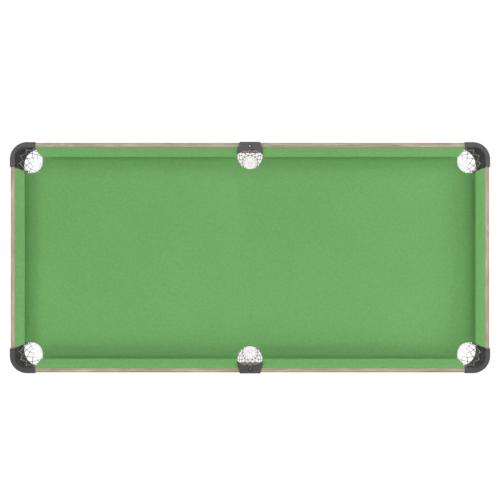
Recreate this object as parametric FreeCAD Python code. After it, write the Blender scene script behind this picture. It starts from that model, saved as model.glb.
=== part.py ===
import FreeCAD, Part
import math
import os

# Home pool table with six net drop pockets and two folding leg frames.
# Millimetres, +Z up, origin on the floor under the middle of the table,
# +X along the length (right), +Y across the width (back).
# Most parts are built in the back right quarter and mirrored.

Vec = FreeCAD.Vector
X_AXIS, Y_AXIS, Z_AXIS = Vec(1, 0, 0), Vec(0, 1, 0), Vec(0, 0, 1)

# ---------------------------------------------------------------- shared dimensions
Z_TOP = 790.0                   # top edge of the frame boards and of the cushions
Z_BED = 752.0                   # playing surface, the top of the bed cloth
CLOTH_T = 1.0
BED_T = 18.0
Z_PANEL_TOP = Z_BED - CLOTH_T
Z_PANEL_LOW = Z_PANEL_TOP - BED_T
BOARD_T = 16.0
X_IN, Y_IN = 941.0, 443.0       # inner faces of the frame boards
X_OUT, Y_OUT = X_IN + BOARD_T, Y_IN + BOARD_T
X_BOARD_END = 865.0             # end of a long board, inside a corner casting
Y_BOARD_END = 366.0             # end of an end board
CAST_WALL = 3.0
X_CAST, Y_CAST = X_OUT + CAST_WALL, Y_OUT + CAST_WALL
EDGE_GAP = 0.3                  # between the frame boards and what lies inside them
FIT = 0.05                      # running clearance on a radius

os.makedirs("parts", exist_ok=True)


# ---------------------------------------------------------------- helpers
def box(x0, x1, y0, y1, z0, z1):
    return Part.makeBox(x1 - x0, y1 - y0, z1 - z0, Vec(x0, y0, z0))


def z_cylinder(x, y, radius, z0, z1):
    return Part.makeCylinder(radius, z1 - z0, Vec(x, y, z0), Z_AXIS)


def y_cylinder(x, z, radius, y0, y1):
    return Part.makeCylinder(radius, y1 - y0, Vec(x, y0, z), Y_AXIS)


def polygon_face(points):
    return Part.Face(Part.makePolygon(points + [points[0]]))


def hexagon_face(centre, radius, across, along):
    """Regular hexagon in the plane of two unit vectors, with a corner on the first."""
    angles = [math.radians(60 * k) for k in range(6)]
    return polygon_face([centre + across * (radius * math.cos(a)) + along * (radius * math.sin(a))
                         for a in angles])


def polar(centre_x, centre_y, radius, angle):
    return centre_x + radius * math.cos(angle), centre_y + radius * math.sin(angle)


def edge_mid(edge):
    return edge.valueAt((edge.FirstParameter + edge.LastParameter) / 2)


def mid_at_z(edge, z):
    return abs(edge_mid(edge).z - z) < 0.01


def fillet(shape, radius, pick):
    """Round the edges that pick accepts; with none, the shape stays as it is."""
    edges = [edge for edge in shape.Edges if pick(edge)]
    return shape.makeFillet(radius, edges) if edges else shape


def mirror_x(shape):
    return shape.mirror(Vec(0, 0, 0), X_AXIS)


def mirror_y(shape):
    return shape.mirror(Vec(0, 0, 0), Y_AXIS)


# Back or front, right or left, and how to get there from the back right.
QUARTERS = (
    ("back", "right", lambda shape: shape),
    ("back", "left", mirror_x),
    ("front", "right", mirror_y),
    ("front", "left", lambda shape: mirror_x(mirror_y(shape))),
)


def in_quarters(shapes):
    return [mirror(shape) for shape in shapes for _, _, mirror in QUARTERS]


def back_and_front(shapes):
    return [copy for shape in shapes for copy in (shape, mirror_y(shape))]


def save(name, *shapes):
    solids = [solid for shape in shapes for solid in shape.removeSplitter().Solids]
    assert solids and all(solid.isValid() and solid.Volume > 0 for solid in solids), name
    out = solids[0] if len(solids) == 1 else Part.makeCompound(solids)
    out.exportStep("parts/%s.step" % name)


def save_quarters(pattern, shape):
    for y_name, x_name, mirror in QUARTERS:
        save(pattern.format(x=x_name, y=y_name), mirror(shape))


def save_back_front(pattern, shape):
    save(pattern.format("back"), shape)
    save(pattern.format("front"), mirror_y(shape))


def save_right_left(pattern, *shapes):
    save(pattern.format("right"), *shapes)
    save(pattern.format("left"), *[mirror_x(shape) for shape in shapes])


# ---------------------------------------------------------------- wood screws
SCREW_R = 1.6
SCREW_CLEAR_R = 1.7             # hole in a metal part
SCREW_TIP = 3.0                 # length of the tapered tip
RECESS_L, RECESS_W = 4.0, 0.9   # one bar of the cross recess


def wood_screw(seat, axis, length, radius=SCREW_R, head_r=3.5, head_h=2.2):
    """Pan-head screw: seat is the point under the head, axis the way the shank goes."""
    shank = Part.makeCylinder(radius, length - SCREW_TIP, seat, axis)
    tip = Part.makeCone(radius, 0.4, SCREW_TIP, seat + axis * (length - SCREW_TIP), axis)
    head = Part.makeCylinder(head_r, head_h, seat, axis * -1)
    head = fillet(head, 1.2, lambda edge: edge.Closed
                  and (edge_mid(edge) - seat).dot(axis) < -head_h + 0.1)
    screw = head.fuse([shank, tip]).removeSplitter()
    top = seat - axis * head_h
    across = X_AXIS if abs(axis.x) < 0.5 else Y_AXIS
    along = axis.cross(across)
    for a, b in ((across, along), (along, across * -1)):
        bar = Part.makeBox(RECESS_L, RECESS_W, 1.2, Vec(-RECESS_L / 2, -RECESS_W / 2, -0.2))
        placing = FreeCAD.Matrix(a.x, b.x, axis.x, top.x,
                                 a.y, b.y, axis.y, top.y,
                                 a.z, b.z, axis.z, top.z,
                                 0, 0, 0, 1)
        screw = screw.cut(bar.transformGeometry(placing))
    return screw


def screw_hole(seat, axis, length, radius=SCREW_R):
    return Part.makeCylinder(radius + 0.02, length + 0.3, seat, axis)


# Screws that tie the corner castings to the ends of the boards.
CORNER_SCREW_L = 45.0
CORNER_SCREW_Z = (712.0, 738.0)
CORNER_SCREW_IN = 4.5           # screw axis in from a board's outer face
BOSS_L = 12.0                   # casting boss, out from the end of the board

corner_seats = []
for z in CORNER_SCREW_Z:
    corner_seats.append((Vec(X_BOARD_END + BOSS_L, Y_OUT - CORNER_SCREW_IN, z), X_AXIS * -1))
    corner_seats.append((Vec(X_OUT - CORNER_SCREW_IN, Y_BOARD_END + BOSS_L, z), Y_AXIS * -1))
corner_screws = [wood_screw(seat, axis, CORNER_SCREW_L) for seat, axis in corner_seats]
corner_holes = [screw_hole(seat, axis, CORNER_SCREW_L) for seat, axis in corner_seats]
save("corner_screws", *in_quarters(corner_screws))

# One screw down through each side casting into a long board.
SIDE_SCREW_Y = 446.5
SIDE_SCREW_R, SIDE_SCREW_L = 2.0, 32.0
SIDE_SEAT_Z = Z_TOP + 1.0

side_screw = wood_screw(Vec(0, SIDE_SCREW_Y, SIDE_SEAT_Z), Z_AXIS * -1, SIDE_SCREW_L,
                        radius=SIDE_SCREW_R, head_r=4.2, head_h=2.4)
side_hole = screw_hole(Vec(0, SIDE_SCREW_Y, SIDE_SEAT_Z + 0.2), Z_AXIS * -1, SIDE_SCREW_L,
                       radius=SIDE_SCREW_R)
save("side_casting_screws", *back_and_front([side_screw]))

# ---------------------------------------------------------------- frame boards
Z_APRON = 645.0                 # lower edge of the boards
BOARD_ROUND = 1.2


def drill(board, holes):
    """Cut only the holes that come near the board."""
    return board.cut([hole for hole in holes if hole.BoundBox.intersect(board.BoundBox)])


def long_board():
    board = box(-X_BOARD_END, X_BOARD_END, Y_IN, Y_OUT, Z_APRON, Z_TOP)
    board = fillet(board, BOARD_ROUND, lambda edge: abs(edge_mid(edge).x) < 1)
    return drill(board, in_quarters(corner_holes) + back_and_front([side_hole]))


def end_board():
    board = box(X_IN, X_OUT, -Y_BOARD_END, Y_BOARD_END, Z_APRON, Z_TOP)
    board = fillet(board, BOARD_ROUND, lambda edge: abs(edge_mid(edge).y) < 1)
    return drill(board, in_quarters(corner_holes))


save_back_front("{}_frame_board", long_board())
save_right_left("{}_frame_board", end_board())

# ---------------------------------------------------------------- corner castings
CAST_TOP = Z_TOP + 3.5
CAST_LOW = Z_APRON - 1.5
CAST_R = 69.5                   # outer corner radius in plan
LIP_R = 46.0                    # inner radius of the top lip
X_ARM, Y_ARM = 860.0, 363.0     # ends of the two arms
BOSS_Z_MARGIN = 14.0            # boss beyond the lower and upper screws


def rounded_l(x_out, y_out, r_out, x_arm, y_arm, x_in, y_in, r_in, z0, z1):
    """L-shaped block with a rounded outer and a rounded inner corner."""
    half = math.sqrt(0.5)
    out_x, out_y = x_out - r_out, y_out - r_out
    in_x, in_y = x_in - r_in, y_in - r_in
    p = [Vec(x, y, z0) for x, y in (
        (x_arm, y_out), (out_x, y_out), (x_out, out_y), (x_out, y_arm),
        (x_in, y_arm), (x_in, in_y), (in_x, y_in), (x_arm, y_in))]
    out_mid = Vec(out_x + r_out * half, out_y + r_out * half, z0)
    in_mid = Vec(in_x + r_in * half, in_y + r_in * half, z0)
    wire = Part.Wire([
        Part.LineSegment(p[0], p[1]).toShape(),
        Part.Arc(p[1], out_mid, p[2]).toShape(),
        Part.LineSegment(p[2], p[3]).toShape(),
        Part.LineSegment(p[3], p[4]).toShape(),
        Part.LineSegment(p[4], p[5]).toShape(),
        Part.Arc(p[5], in_mid, p[6]).toShape(),
        Part.LineSegment(p[6], p[7]).toShape(),
        Part.LineSegment(p[7], p[0]).toShape(),
    ])
    return Part.Face(wire).extrude(Vec(0, 0, z1 - z0))


def corner_casting():
    cast = rounded_l(X_CAST, Y_CAST, CAST_R, X_ARM, Y_ARM, X_IN, Y_IN, LIP_R,
                     CAST_LOW, CAST_TOP)
    cast = fillet(cast, 1.6, lambda edge: mid_at_z(edge, CAST_TOP)
                  and edge.BoundBox.XLength + edge.BoundBox.YLength > 30)
    cast = cast.cut(rounded_l(X_OUT, Y_OUT, CAST_R - CAST_WALL, X_ARM - 5, Y_ARM - 5,
                              X_IN - 12, Y_IN - 12, LIP_R - 8, CAST_LOW - 1, Z_TOP - 3.0))
    # room for the board ends
    cast = cast.cut(box(X_ARM - 5, X_BOARD_END, Y_IN - 5, Y_OUT, CAST_LOW - 1, Z_TOP))
    cast = cast.cut(box(X_IN - 5, X_OUT, Y_ARM - 5, Y_BOARD_END, CAST_LOW - 1, Z_TOP))
    z0, z1 = CORNER_SCREW_Z[0] - BOSS_Z_MARGIN, CORNER_SCREW_Z[1] + BOSS_Z_MARGIN
    bosses = [box(X_BOARD_END, X_BOARD_END + BOSS_L, Y_OUT - 8.5, Y_OUT + 1, z0, z1),
              box(X_OUT - 8.5, X_OUT + 1, Y_BOARD_END, Y_BOARD_END + BOSS_L, z0, z1)]
    return cast.fuse(bosses).removeSplitter().cut(corner_holes)


save_quarters("corner_casting_{y}_{x}", corner_casting())

# ---------------------------------------------------------------- side castings
SIDE_HALF_OUT, SIDE_HALF_IN = 41.0, 49.6    # half widths at the outer and pocket ends
SIDE_TOP = 6.5                  # height above the boards
SIDE_Z = Z_TOP + SIDE_TOP
Y_SIDE = Y_CAST + 1.2           # outer face
BEVEL_Y, BEVEL_Z = 3.5, 5.0     # outer edge bevel, across and down
SIDE_BORE_R = 7.4               # counterbore of the fixing screw
SIDE_WALL = 3.0
SKIRT_LOW = Z_TOP - 38
# edge over the pocket: x, y
SIDE_ARC = [(-47.8, 414.6), (-41.6, 422.0), (-33.6, 427.2), (-22.4, 430.8), (0, 432.6),
            (22.4, 430.8), (33.6, 427.2), (41.6, 422.0), (47.8, 414.6)]


def side_block(inset, z0, z1, y_out, shift_y=0.0):
    """Block on the plan outline of a side casting, narrowed by inset."""
    arc = [Vec(x * (1 - inset / 60.0), y + shift_y, z0) for x, y in SIDE_ARC]
    spline = Part.BSplineCurve()
    spline.interpolate(arc)
    left = arc[0]
    right = Vec(-left.x, left.y, z0)
    half_in, half_out = SIDE_HALF_IN - inset, SIDE_HALF_OUT - inset
    y_ear = 417.5 + shift_y
    points = [right, Vec(half_in, y_ear, z0), Vec(half_out + 0.8, y_out - 3.0, z0),
              Vec(half_out - 1.5, y_out, z0), Vec(-half_out + 1.5, y_out, z0),
              Vec(-half_out - 0.8, y_out - 3.0, z0), Vec(-half_in, y_ear, z0), left]
    lines = [Part.LineSegment(p, q).toShape() for p, q in zip(points, points[1:])]
    return Part.Face(Part.Wire([spline.toShape()] + lines)).extrude(Vec(0, 0, z1 - z0))


def side_casting():
    side = side_block(0, Z_TOP - 9.0, SIDE_Z, Y_SIDE)
    bevel = polygon_face([
        Vec(-60, Y_SIDE - BEVEL_Y, SIDE_Z),
        Vec(-60, Y_SIDE - BEVEL_Y, SIDE_Z + 1),
        Vec(-60, Y_SIDE + 2, SIDE_Z + 1),
        Vec(-60, Y_SIDE + 2, SIDE_Z - BEVEL_Z - 2 * BEVEL_Z / BEVEL_Y),
    ])
    side = side.cut(bevel.extrude(Vec(120, 0, 0)))
    side = fillet(side, 1.2, lambda edge: mid_at_z(edge, SIDE_Z)
                  and edge_mid(edge).y < 436 and edge.BoundBox.XLength > 60)
    # hollow over the pocket, then room for the board
    side = side.cut(side_block(SIDE_WALL, Z_TOP - 20.0, Z_TOP - 0.5, Y_IN + 2,
                               shift_y=SIDE_WALL))
    side = side.cut(box(-60, 60, Y_IN, Y_SIDE + 5, Z_TOP - 20, Z_TOP))
    skirt = box(-SIDE_HALF_OUT + 1.0, SIDE_HALF_OUT - 1.0, Y_OUT, Y_SIDE,
                SKIRT_LOW, Z_TOP + 1.0)
    skirt = fillet(skirt, 6.0, lambda edge: mid_at_z(edge, SKIRT_LOW)
                   and edge.BoundBox.YLength > 2.9)
    side = side.fuse(skirt).removeSplitter()
    bore = z_cylinder(0, SIDE_SCREW_Y, SIDE_BORE_R, SIDE_SEAT_Z, SIDE_SEAT_Z + SIDE_TOP)
    return side.cut([bore, side_hole])


save_back_front("side_casting_{}", side_casting())

# ---------------------------------------------------------------- pocket hoops
HOOP_WIRE_R = 1.5
CORNER_HOOP, CORNER_HOOP_R = (893.0, 394.5), 53.5
SIDE_HOOP, SIDE_HOOP_R = (0.0, 407.0), 54.0
SIDE_HOOP_BACK = 440.8          # y of its straight back
SIDE_HOOP_BEND = 11.0           # radius where the arc meets the straight back
CORNER_TABS = (180.0, 225.0, 270.0)     # tab directions, degrees
SIDE_TABS = (210.0, 270.0, 330.0)
TAB_HALF, TAB_T = 6.0, 2.0
TAB_SCREW_OUT = 7.5             # tab screw beyond the hoop's wire circle
TAB_LOW = Z_PANEL_LOW - TAB_T
Z_HOOP = TAB_LOW - HOOP_WIRE_R + 0.3
TAB_SCREW_L = 14.0


def hoop_tab(centre, hoop_r, degrees):
    tab = box(-TAB_HALF, TAB_HALF, hoop_r + 0.6, hoop_r + 13, TAB_LOW, Z_PANEL_LOW)
    tab = fillet(tab, 4.0, lambda edge: mid_at_z(edge, Z_PANEL_LOW - TAB_T / 2)
                 and edge_mid(edge).y > hoop_r + 12)
    tab = tab.fuse(box(-TAB_HALF, TAB_HALF, hoop_r - 0.9, hoop_r + 2, TAB_LOW, Z_PANEL_LOW))
    tab = tab.cut(z_cylinder(0, hoop_r + TAB_SCREW_OUT, SCREW_CLEAR_R,
                             Z_PANEL_LOW - 5, Z_PANEL_LOW + 5))
    tab.rotate(Vec(0, 0, 0), Z_AXIS, degrees - 90)
    tab.translate(Vec(centre[0], centre[1], 0))
    return tab


def with_tabs(hoop, centre, hoop_r, directions):
    for degrees in directions:
        hoop = hoop.fuse(hoop_tab(centre, hoop_r, degrees))
    return hoop.removeSplitter()


def tab_seats(centre, hoop_r, directions):
    return [Vec(*polar(*centre, hoop_r + TAB_SCREW_OUT, math.radians(degrees)), TAB_LOW)
            for degrees in directions]


def corner_hoop():
    ring = Part.makeTorus(CORNER_HOOP_R, HOOP_WIRE_R, Vec(*CORNER_HOOP, Z_HOOP))
    return with_tabs(ring, CORNER_HOOP, CORNER_HOOP_R, CORNER_TABS)


def side_hoop():
    """Arc round the front and a straight back with rounded corners."""
    centre_y = SIDE_HOOP[1]
    bend_y = SIDE_HOOP_BACK - SIDE_HOOP_BEND
    bend_x = math.sqrt((SIDE_HOOP_R - SIDE_HOOP_BEND) ** 2 - (bend_y - centre_y) ** 2)
    angle = math.atan2(bend_y - centre_y, bend_x)
    arc_end = Vec(*polar(*SIDE_HOOP, SIDE_HOOP_R, angle), Z_HOOP)
    bend_mid = Vec(*polar(bend_x, bend_y, SIDE_HOOP_BEND, (angle + math.pi / 2) / 2), Z_HOOP)
    back_end = Vec(bend_x, SIDE_HOOP_BACK, Z_HOOP)
    left_arc_end, left_bend_mid, left_back_end = [
        Vec(-point.x, point.y, Z_HOOP) for point in (arc_end, bend_mid, back_end)]
    front = Vec(0, centre_y - SIDE_HOOP_R, Z_HOOP)
    path = Part.Wire([
        Part.LineSegment(left_back_end, back_end).toShape(),
        Part.Arc(back_end, bend_mid, arc_end).toShape(),
        Part.Arc(arc_end, front, left_arc_end).toShape(),
        Part.Arc(left_arc_end, left_bend_mid, left_back_end).toShape(),
    ])
    section = Part.Wire([Part.makeCircle(HOOP_WIRE_R, left_back_end, X_AXIS)])
    hoop = path.makePipeShell([section], True, True)
    return with_tabs(hoop, SIDE_HOOP, SIDE_HOOP_R, SIDE_TABS)


save_quarters("pocket_hoop_{y}_{x}", corner_hoop())
save_back_front("pocket_hoop_{}_side", side_hoop())

corner_tab_seats = tab_seats(CORNER_HOOP, CORNER_HOOP_R, CORNER_TABS)
side_tab_seats = tab_seats(SIDE_HOOP, SIDE_HOOP_R, SIDE_TABS)


def at_tabs(make):
    """Screws or screw holes at every hoop tab."""
    return (in_quarters([make(seat, Z_AXIS, TAB_SCREW_L) for seat in corner_tab_seats])
            + back_and_front([make(seat, Z_AXIS, TAB_SCREW_L) for seat in side_tab_seats]))


# ---------------------------------------------------------------- bed panel and its cloth
CORNER_POCKET, CORNER_POCKET_R = (889.4, 391.0), 47.0   # axis, and radius in the cloth
SIDE_POCKET, SIDE_POCKET_R = (0.0, 411.0), 51.0


def pocket_cuts(grow, z0, z1):
    """Tools for the six pockets, open to the table edge, with radii enlarged by grow."""
    x, y = CORNER_POCKET
    radius = CORNER_POCKET_R + grow
    corner = [z_cylinder(x, y, radius, z0, z1),
              box(x, X_IN + 10, y - radius, Y_IN + 10, z0, z1),
              box(x - radius, X_IN + 10, y, Y_IN + 10, z0, z1)]
    x, y = SIDE_POCKET
    radius = SIDE_POCKET_R + grow
    side = [z_cylinder(x, y, radius, z0, z1),
            box(-radius, radius, y, Y_IN + 10, z0, z1)]
    return in_quarters(corner) + side + [mirror_y(tool) for tool in side]


def bed_slab(z0, z1):
    x, y = X_IN - EDGE_GAP, Y_IN - EDGE_GAP
    return box(-x, x, -y, y, z0, z1)


panel = bed_slab(Z_PANEL_LOW, Z_PANEL_TOP)
panel = panel.cut(pocket_cuts(CLOTH_T, Z_PANEL_LOW - 1, Z_PANEL_TOP + 1))
cloth = bed_slab(Z_PANEL_LOW + 1, Z_BED).cut(pocket_cuts(0.0, Z_PANEL_LOW, Z_BED + 1))
cloth = cloth.cut(panel)        # the cloth wraps down the edge of each pocket
save("bed_panel", panel.cut(at_tabs(screw_hole)))
save("bed_cloth", cloth)

# ---------------------------------------------------------------- nets
NET_T = 1.5
NET_PROFILE = [                 # radius, z from the mouth down
    (52.5, Z_HOOP - HOOP_WIRE_R - 0.4), (50.5, 700.0), (46.0, 665.0),
    (38.0, 640.0), (25.0, 622.0), (8.0, 612.0),
]


def net_body(centre, inset):
    """Solid of revolution of the bag; with an inset, the space inside it."""
    cx, cy = centre
    mouth_rise = 1.0 if inset else 0.0      # the space passes through the open mouth
    rises = (mouth_rise, 0.0, 0.0, 0.0, inset * 0.6, inset)
    outline = [Vec(cx + radius - inset, cy, z + rise)
               for (radius, z), rise in zip(NET_PROFILE, rises)]
    top, low = Vec(cx, cy, outline[0].z), Vec(cx, cy, outline[-1].z)
    return polygon_face([top] + outline + [low]).revolve(Vec(cx, cy, 0), Z_AXIS, 360)


def side_net():
    """Bag with a flat back, clear of the long board."""
    clip_out = box(-80, 80, 300, SIDE_HOOP_BACK + 1.2, 500, 800)
    clip_in = box(-80, 80, 300, SIDE_HOOP_BACK - 0.6, 500, 800)
    inside = net_body(SIDE_HOOP, NET_T).common(clip_in)
    return net_body(SIDE_HOOP, 0).common(clip_out).cut(inside)


save_quarters("pocket_net_{y}_{x}",
              net_body(CORNER_HOOP, 0).cut(net_body(CORNER_HOOP, NET_T)))
save_back_front("pocket_net_{}_side", side_net())

# ---------------------------------------------------------------- cushions
CUSH_D, END_CUSH_D = 39.0, 38.0     # board to nose, on the long and end boards
CUSH_H = Z_TOP - Z_BED
COVER_T = 1.2
SUBRAIL_D = 20.0
PLAN_NOSE_X = X_IN - END_CUSH_D - 1.0   # the plans reach just past the nose
PLAN_NOSE_Y = Y_IN - CUSH_D - 1.0
END_CUT_HALF = 400.0            # half length of the end cushion before trimming

# Plans as x, y points; the last side of each lies on the board.
LONG_PLAN = [(46.0, Y_IN), (52.8, PLAN_NOSE_Y), (834.8, PLAN_NOSE_Y), (844.5, 413.0),
             (858.8, 434.4), (861.0, 440.0), (861.0, Y_IN)]
LONG_NOSE_SIDE = 1              # index of the side along the nose
END_CURVE = [(X_IN, 359.4), (930.0, 357.1), (920.0, 353.4), (911.0, 348.7),
             (905.5, 343.1), (PLAN_NOSE_X, 337.0)]
END_PLAN = END_CURVE + [(x, -y) for x, y in reversed(END_CURVE)]
END_NOSE_SIDE = 5


def cushion_profile(inset):
    """Section: u out from the board, v up from the cloth; inset lies within the cover."""
    return [(0.0, inset), (24.0 - inset * 0.6, inset), (37.6 - inset, 26.6),
            (39.0 - inset, 29.6), (38.2 - inset, 32.4 - inset * 0.4),
            (35.0 - inset, 34.2 - inset), (16.0, CUSH_H - inset), (0.0, CUSH_H - inset)]


def cushion_bar(inset, along_x):
    """Untrimmed cushion on a long board (along_x) or on an end board."""
    profile = cushion_profile(inset)
    if along_x:
        start, end = LONG_PLAN[0][0] - 20, LONG_PLAN[-1][0] + 20
        points = [Vec(start, Y_IN - u, Z_BED + v) for u, v in profile]
        return polygon_face(points).extrude(Vec(end - start, 0, 0))
    scale = END_CUSH_D / CUSH_D
    points = [Vec(X_IN - u * scale, -END_CUT_HALF, Z_BED + v) for u, v in profile]
    return polygon_face(points).extrude(Vec(0, 2 * END_CUT_HALF, 0))


def cushion_slab(along_x, near, far):
    """Block between two distances in from the board."""
    if along_x:
        return box(-50, 1000, Y_IN - far, Y_IN - near, 700, 800)
    return box(X_IN - far, X_IN - near, -END_CUT_HALF, END_CUT_HALF, 700, 800)


def plan_block(plan):
    z0, z1 = Z_BED - 5, Z_TOP + 5
    return polygon_face([Vec(x, y, z0) for x, y in plan]).extrude(Vec(0, 0, z1 - z0))


def inset_ends(plan, nose_side, distance):
    """Move every side but the nose and board sides inwards, and intersect neighbours."""
    count = len(plan)
    mean_x = sum(x for x, _ in plan) / count
    mean_y = sum(y for _, y in plan) / count
    lines = []                  # inward unit normal and its offset from the origin
    for i in range(count):
        (x0, y0), (x1, y1) = plan[i], plan[(i + 1) % count]
        length = math.hypot(x1 - x0, y1 - y0)
        nx, ny = (y1 - y0) / length, (x0 - x1) / length
        if (mean_x - x0) * nx + (mean_y - y0) * ny < 0:
            nx, ny = -nx, -ny
        move = 0.0 if i in (nose_side, count - 1) else distance
        lines.append((nx, ny, nx * x0 + ny * y0 + move))
    corners = []
    for i in range(count):
        a1, b1, c1 = lines[i - 1]
        a2, b2, c2 = lines[i]
        det = a1 * b2 - a2 * b1
        corners.append(((c1 * b2 - c2 * b1) / det, (a1 * c2 - a2 * c1) / det))
    return corners


def cushion_parts(along_x, plan, nose_side):
    """Cover, wooden subrail and rubber of one cushion."""
    outer = cushion_bar(0.0, along_x).common(plan_block(plan))
    core_plan = inset_ends(plan, nose_side, COVER_T)
    core = cushion_bar(COVER_T, along_x).common(plan_block(core_plan))
    return (outer.cut(core),
            core.common(cushion_slab(along_x, 0, SUBRAIL_D)),
            core.common(cushion_slab(along_x, SUBRAIL_D, 60)))


long_cover, long_subrail, long_rubber = cushion_parts(True, LONG_PLAN, LONG_NOSE_SIDE)
end_cover, end_subrail, end_rubber = cushion_parts(False, END_PLAN, END_NOSE_SIDE)
save_quarters("cushion_cover_{y}_{x}", long_cover)
save_right_left("cushion_cover_{}_end", end_cover)
save("cushion_subrails", *in_quarters([long_subrail]), end_subrail, mirror_x(end_subrail))
save("cushion_rubbers", *in_quarters([long_rubber]), end_rubber, mirror_x(end_rubber))

# ---------------------------------------------------------------- under-bed timber
HINGE_X, HINGE_Z = 760.0, 690.0     # leg pivot
BATTEN_X, BATTEN_HALF, BATTEN_H = (110.0, 430.0), 20.0, 25.0
LEDGER_D, LEDGER_H, LEDGER_GAP = 16.0, 18.0, 3.0
END_LEDGER_HALF = 310.0
PLANK_HALF, PLANK_T = 45.0, 18.0
Z_PLANK = Z_PANEL_LOW - PLANK_T


def cross_timber(x, half_width, height):
    y = Y_IN - EDGE_GAP
    return box(x - half_width, x + half_width, -y, y, Z_PANEL_LOW - height, Z_PANEL_LOW)


battens = []
for x in BATTEN_X:
    batten = cross_timber(x, BATTEN_HALF, BATTEN_H)
    battens += [batten, mirror_x(batten)]
save("cross_battens", *battens)

batten_clear = BATTEN_HALF + LEDGER_GAP
ledgers = []
for x0, x1 in ((BATTEN_X[0] + batten_clear, BATTEN_X[1] - batten_clear),
               (BATTEN_X[1] + batten_clear, HINGE_X - PLANK_HALF - LEDGER_GAP)):
    ledgers += in_quarters([box(x0, x1, Y_IN - LEDGER_D, Y_IN,
                                Z_PANEL_LOW - LEDGER_H, Z_PANEL_LOW)])
end_ledger = box(X_IN - LEDGER_D, X_IN, -END_LEDGER_HALF, END_LEDGER_HALF,
                 Z_PANEL_LOW - LEDGER_H, Z_PANEL_LOW)
save("bed_ledgers", *ledgers, end_ledger, mirror_x(end_ledger))

# ---------------------------------------------------------------- leg brackets
LEG_Y = 300.0
TUBE, TUBE_WALL = 30.0, 2.0
SPLAY = 6.0                     # outward lean of the standing leg, degrees
LOCK_R = 27.0                   # radius of the curved locking slot
PIVOT_R = 4.0
KNOB_STUD_R = 4.0
PLATE_T = 3.0
PLATE_LOW = Z_PLANK - PLATE_T
PLATE_HALF_Y = 35.0
CHEEK_R = 37.0
CHEEK_IN = TUBE / 2 + 0.5       # inner face of a cheek from the leg's middle
INNER_Y0, INNER_Y1 = LEG_Y - CHEEK_IN - PLATE_T, LEG_Y - CHEEK_IN
OUTER_Y0, OUTER_Y1 = LEG_Y + CHEEK_IN, LEG_Y + CHEEK_IN + PLATE_T
PLATE_SCREW_L = 18.0

plate_seats = [Vec(HINGE_X + dx, LEG_Y + dy, PLATE_LOW)
               for dx in (-30.0, 30.0) for dy in (-27.0, 27.0)]


def lock_slot(y0, y1):
    """Cutter for the curved slot, from the folded to the standing position."""
    half = KNOB_STUD_R + 0.3
    start, end = math.radians(180.0), math.radians(270.0 + SPLAY)
    ring = y_cylinder(HINGE_X, HINGE_Z, LOCK_R + half, y0 - 1, y1 + 1).cut(
        y_cylinder(HINGE_X, HINGE_Z, LOCK_R - half, y0 - 2, y1 + 2))
    steps = 6
    points = [Vec(HINGE_X, y0 - 3, HINGE_Z)]
    for k in range(steps + 1):
        x, z = polar(HINGE_X, HINGE_Z, 80.0, start + (end - start) * k / steps)
        points.append(Vec(x, y0 - 3, z))
    slot = ring.common(polygon_face(points).extrude(Vec(0, y1 - y0 + 6, 0)))
    for angle in (start, end):
        x, z = polar(HINGE_X, HINGE_Z, LOCK_R, angle)
        slot = slot.fuse(y_cylinder(x, z, half, y0 - 1, y1 + 1))
    return slot


def cheek(y0, y1):
    plate = y_cylinder(HINGE_X, HINGE_Z, CHEEK_R, y0, y1)
    plate = plate.fuse(box(HINGE_X - CHEEK_R, HINGE_X + 26, y0, y1, HINGE_Z, PLATE_LOW + 1))
    plate = plate.common(box(HINGE_X - 60, HINGE_X + 60, y0 - 1, y1 + 1, 600, PLATE_LOW + 1))
    return plate.cut(y_cylinder(HINGE_X, HINGE_Z, PIVOT_R + FIT, y0 - 1, y1 + 1))


def leg_bracket():
    bracket = box(HINGE_X - CHEEK_R, HINGE_X + CHEEK_R,
                  LEG_Y - PLATE_HALF_Y, LEG_Y + PLATE_HALF_Y, PLATE_LOW, Z_PLANK)
    bracket = fillet(bracket, 5.0, lambda edge: mid_at_z(edge, (PLATE_LOW + Z_PLANK) / 2))
    inner = cheek(INNER_Y0, INNER_Y1).cut(lock_slot(INNER_Y0, INNER_Y1))
    bracket = bracket.fuse([inner, cheek(OUTER_Y0, OUTER_Y1)]).removeSplitter()
    return bracket.cut([z_cylinder(seat.x, seat.y, SCREW_CLEAR_R, PLATE_LOW - 1, Z_PLANK + 1)
                        for seat in plate_seats])


def leg_plank():
    holes = [screw_hole(seat, Z_AXIS, PLATE_SCREW_L) for seat in plate_seats]
    plank = cross_timber(HINGE_X, PLANK_HALF, PLANK_T)
    return plank.cut(holes + [mirror_y(hole) for hole in holes])


def pivot_bolt():
    """Bolt with a domed head on the inner cheek and a nut on the outer one."""
    head_y = INNER_Y0 - 3.6
    bolt = y_cylinder(HINGE_X, HINGE_Z, PIVOT_R, INNER_Y0, OUTER_Y1 + 9.0)
    head = y_cylinder(HINGE_X, HINGE_Z, 7.2, head_y, INNER_Y0)
    head = fillet(head, 2.6, lambda edge: edge.Closed and abs(edge_mid(edge).y - head_y) < 0.01)
    nut = hexagon_face(Vec(HINGE_X, OUTER_Y1, HINGE_Z), 7.4, X_AXIS, Z_AXIS)
    return bolt.fuse([head, nut.extrude(Vec(0, 6.5, 0))]).removeSplitter()


save_right_left("leg_plank_{}", leg_plank())
save_quarters("leg_bracket_{x}_{y}", leg_bracket())
plate_screws = [wood_screw(seat, Z_AXIS, PLATE_SCREW_L, head_h=2.0) for seat in plate_seats]
save("pan_head_screws", *at_tabs(wood_screw), *in_quarters(plate_screws))
save("leg_pivot_bolts", *in_quarters([pivot_bolt()]))

# ---------------------------------------------------------------- leg frames
# Built hanging straight down, then leaned outwards about the pivot.
LEG_L = 667.0                   # from the pivot to the end of the tube
Z_TUBE_END = HINGE_Z - LEG_L
FOOT_STUD_R = 5.0
PIVOT = Vec(HINGE_X, 0, HINGE_Z)
LOCK_Z = HINGE_Z - LOCK_R


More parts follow.
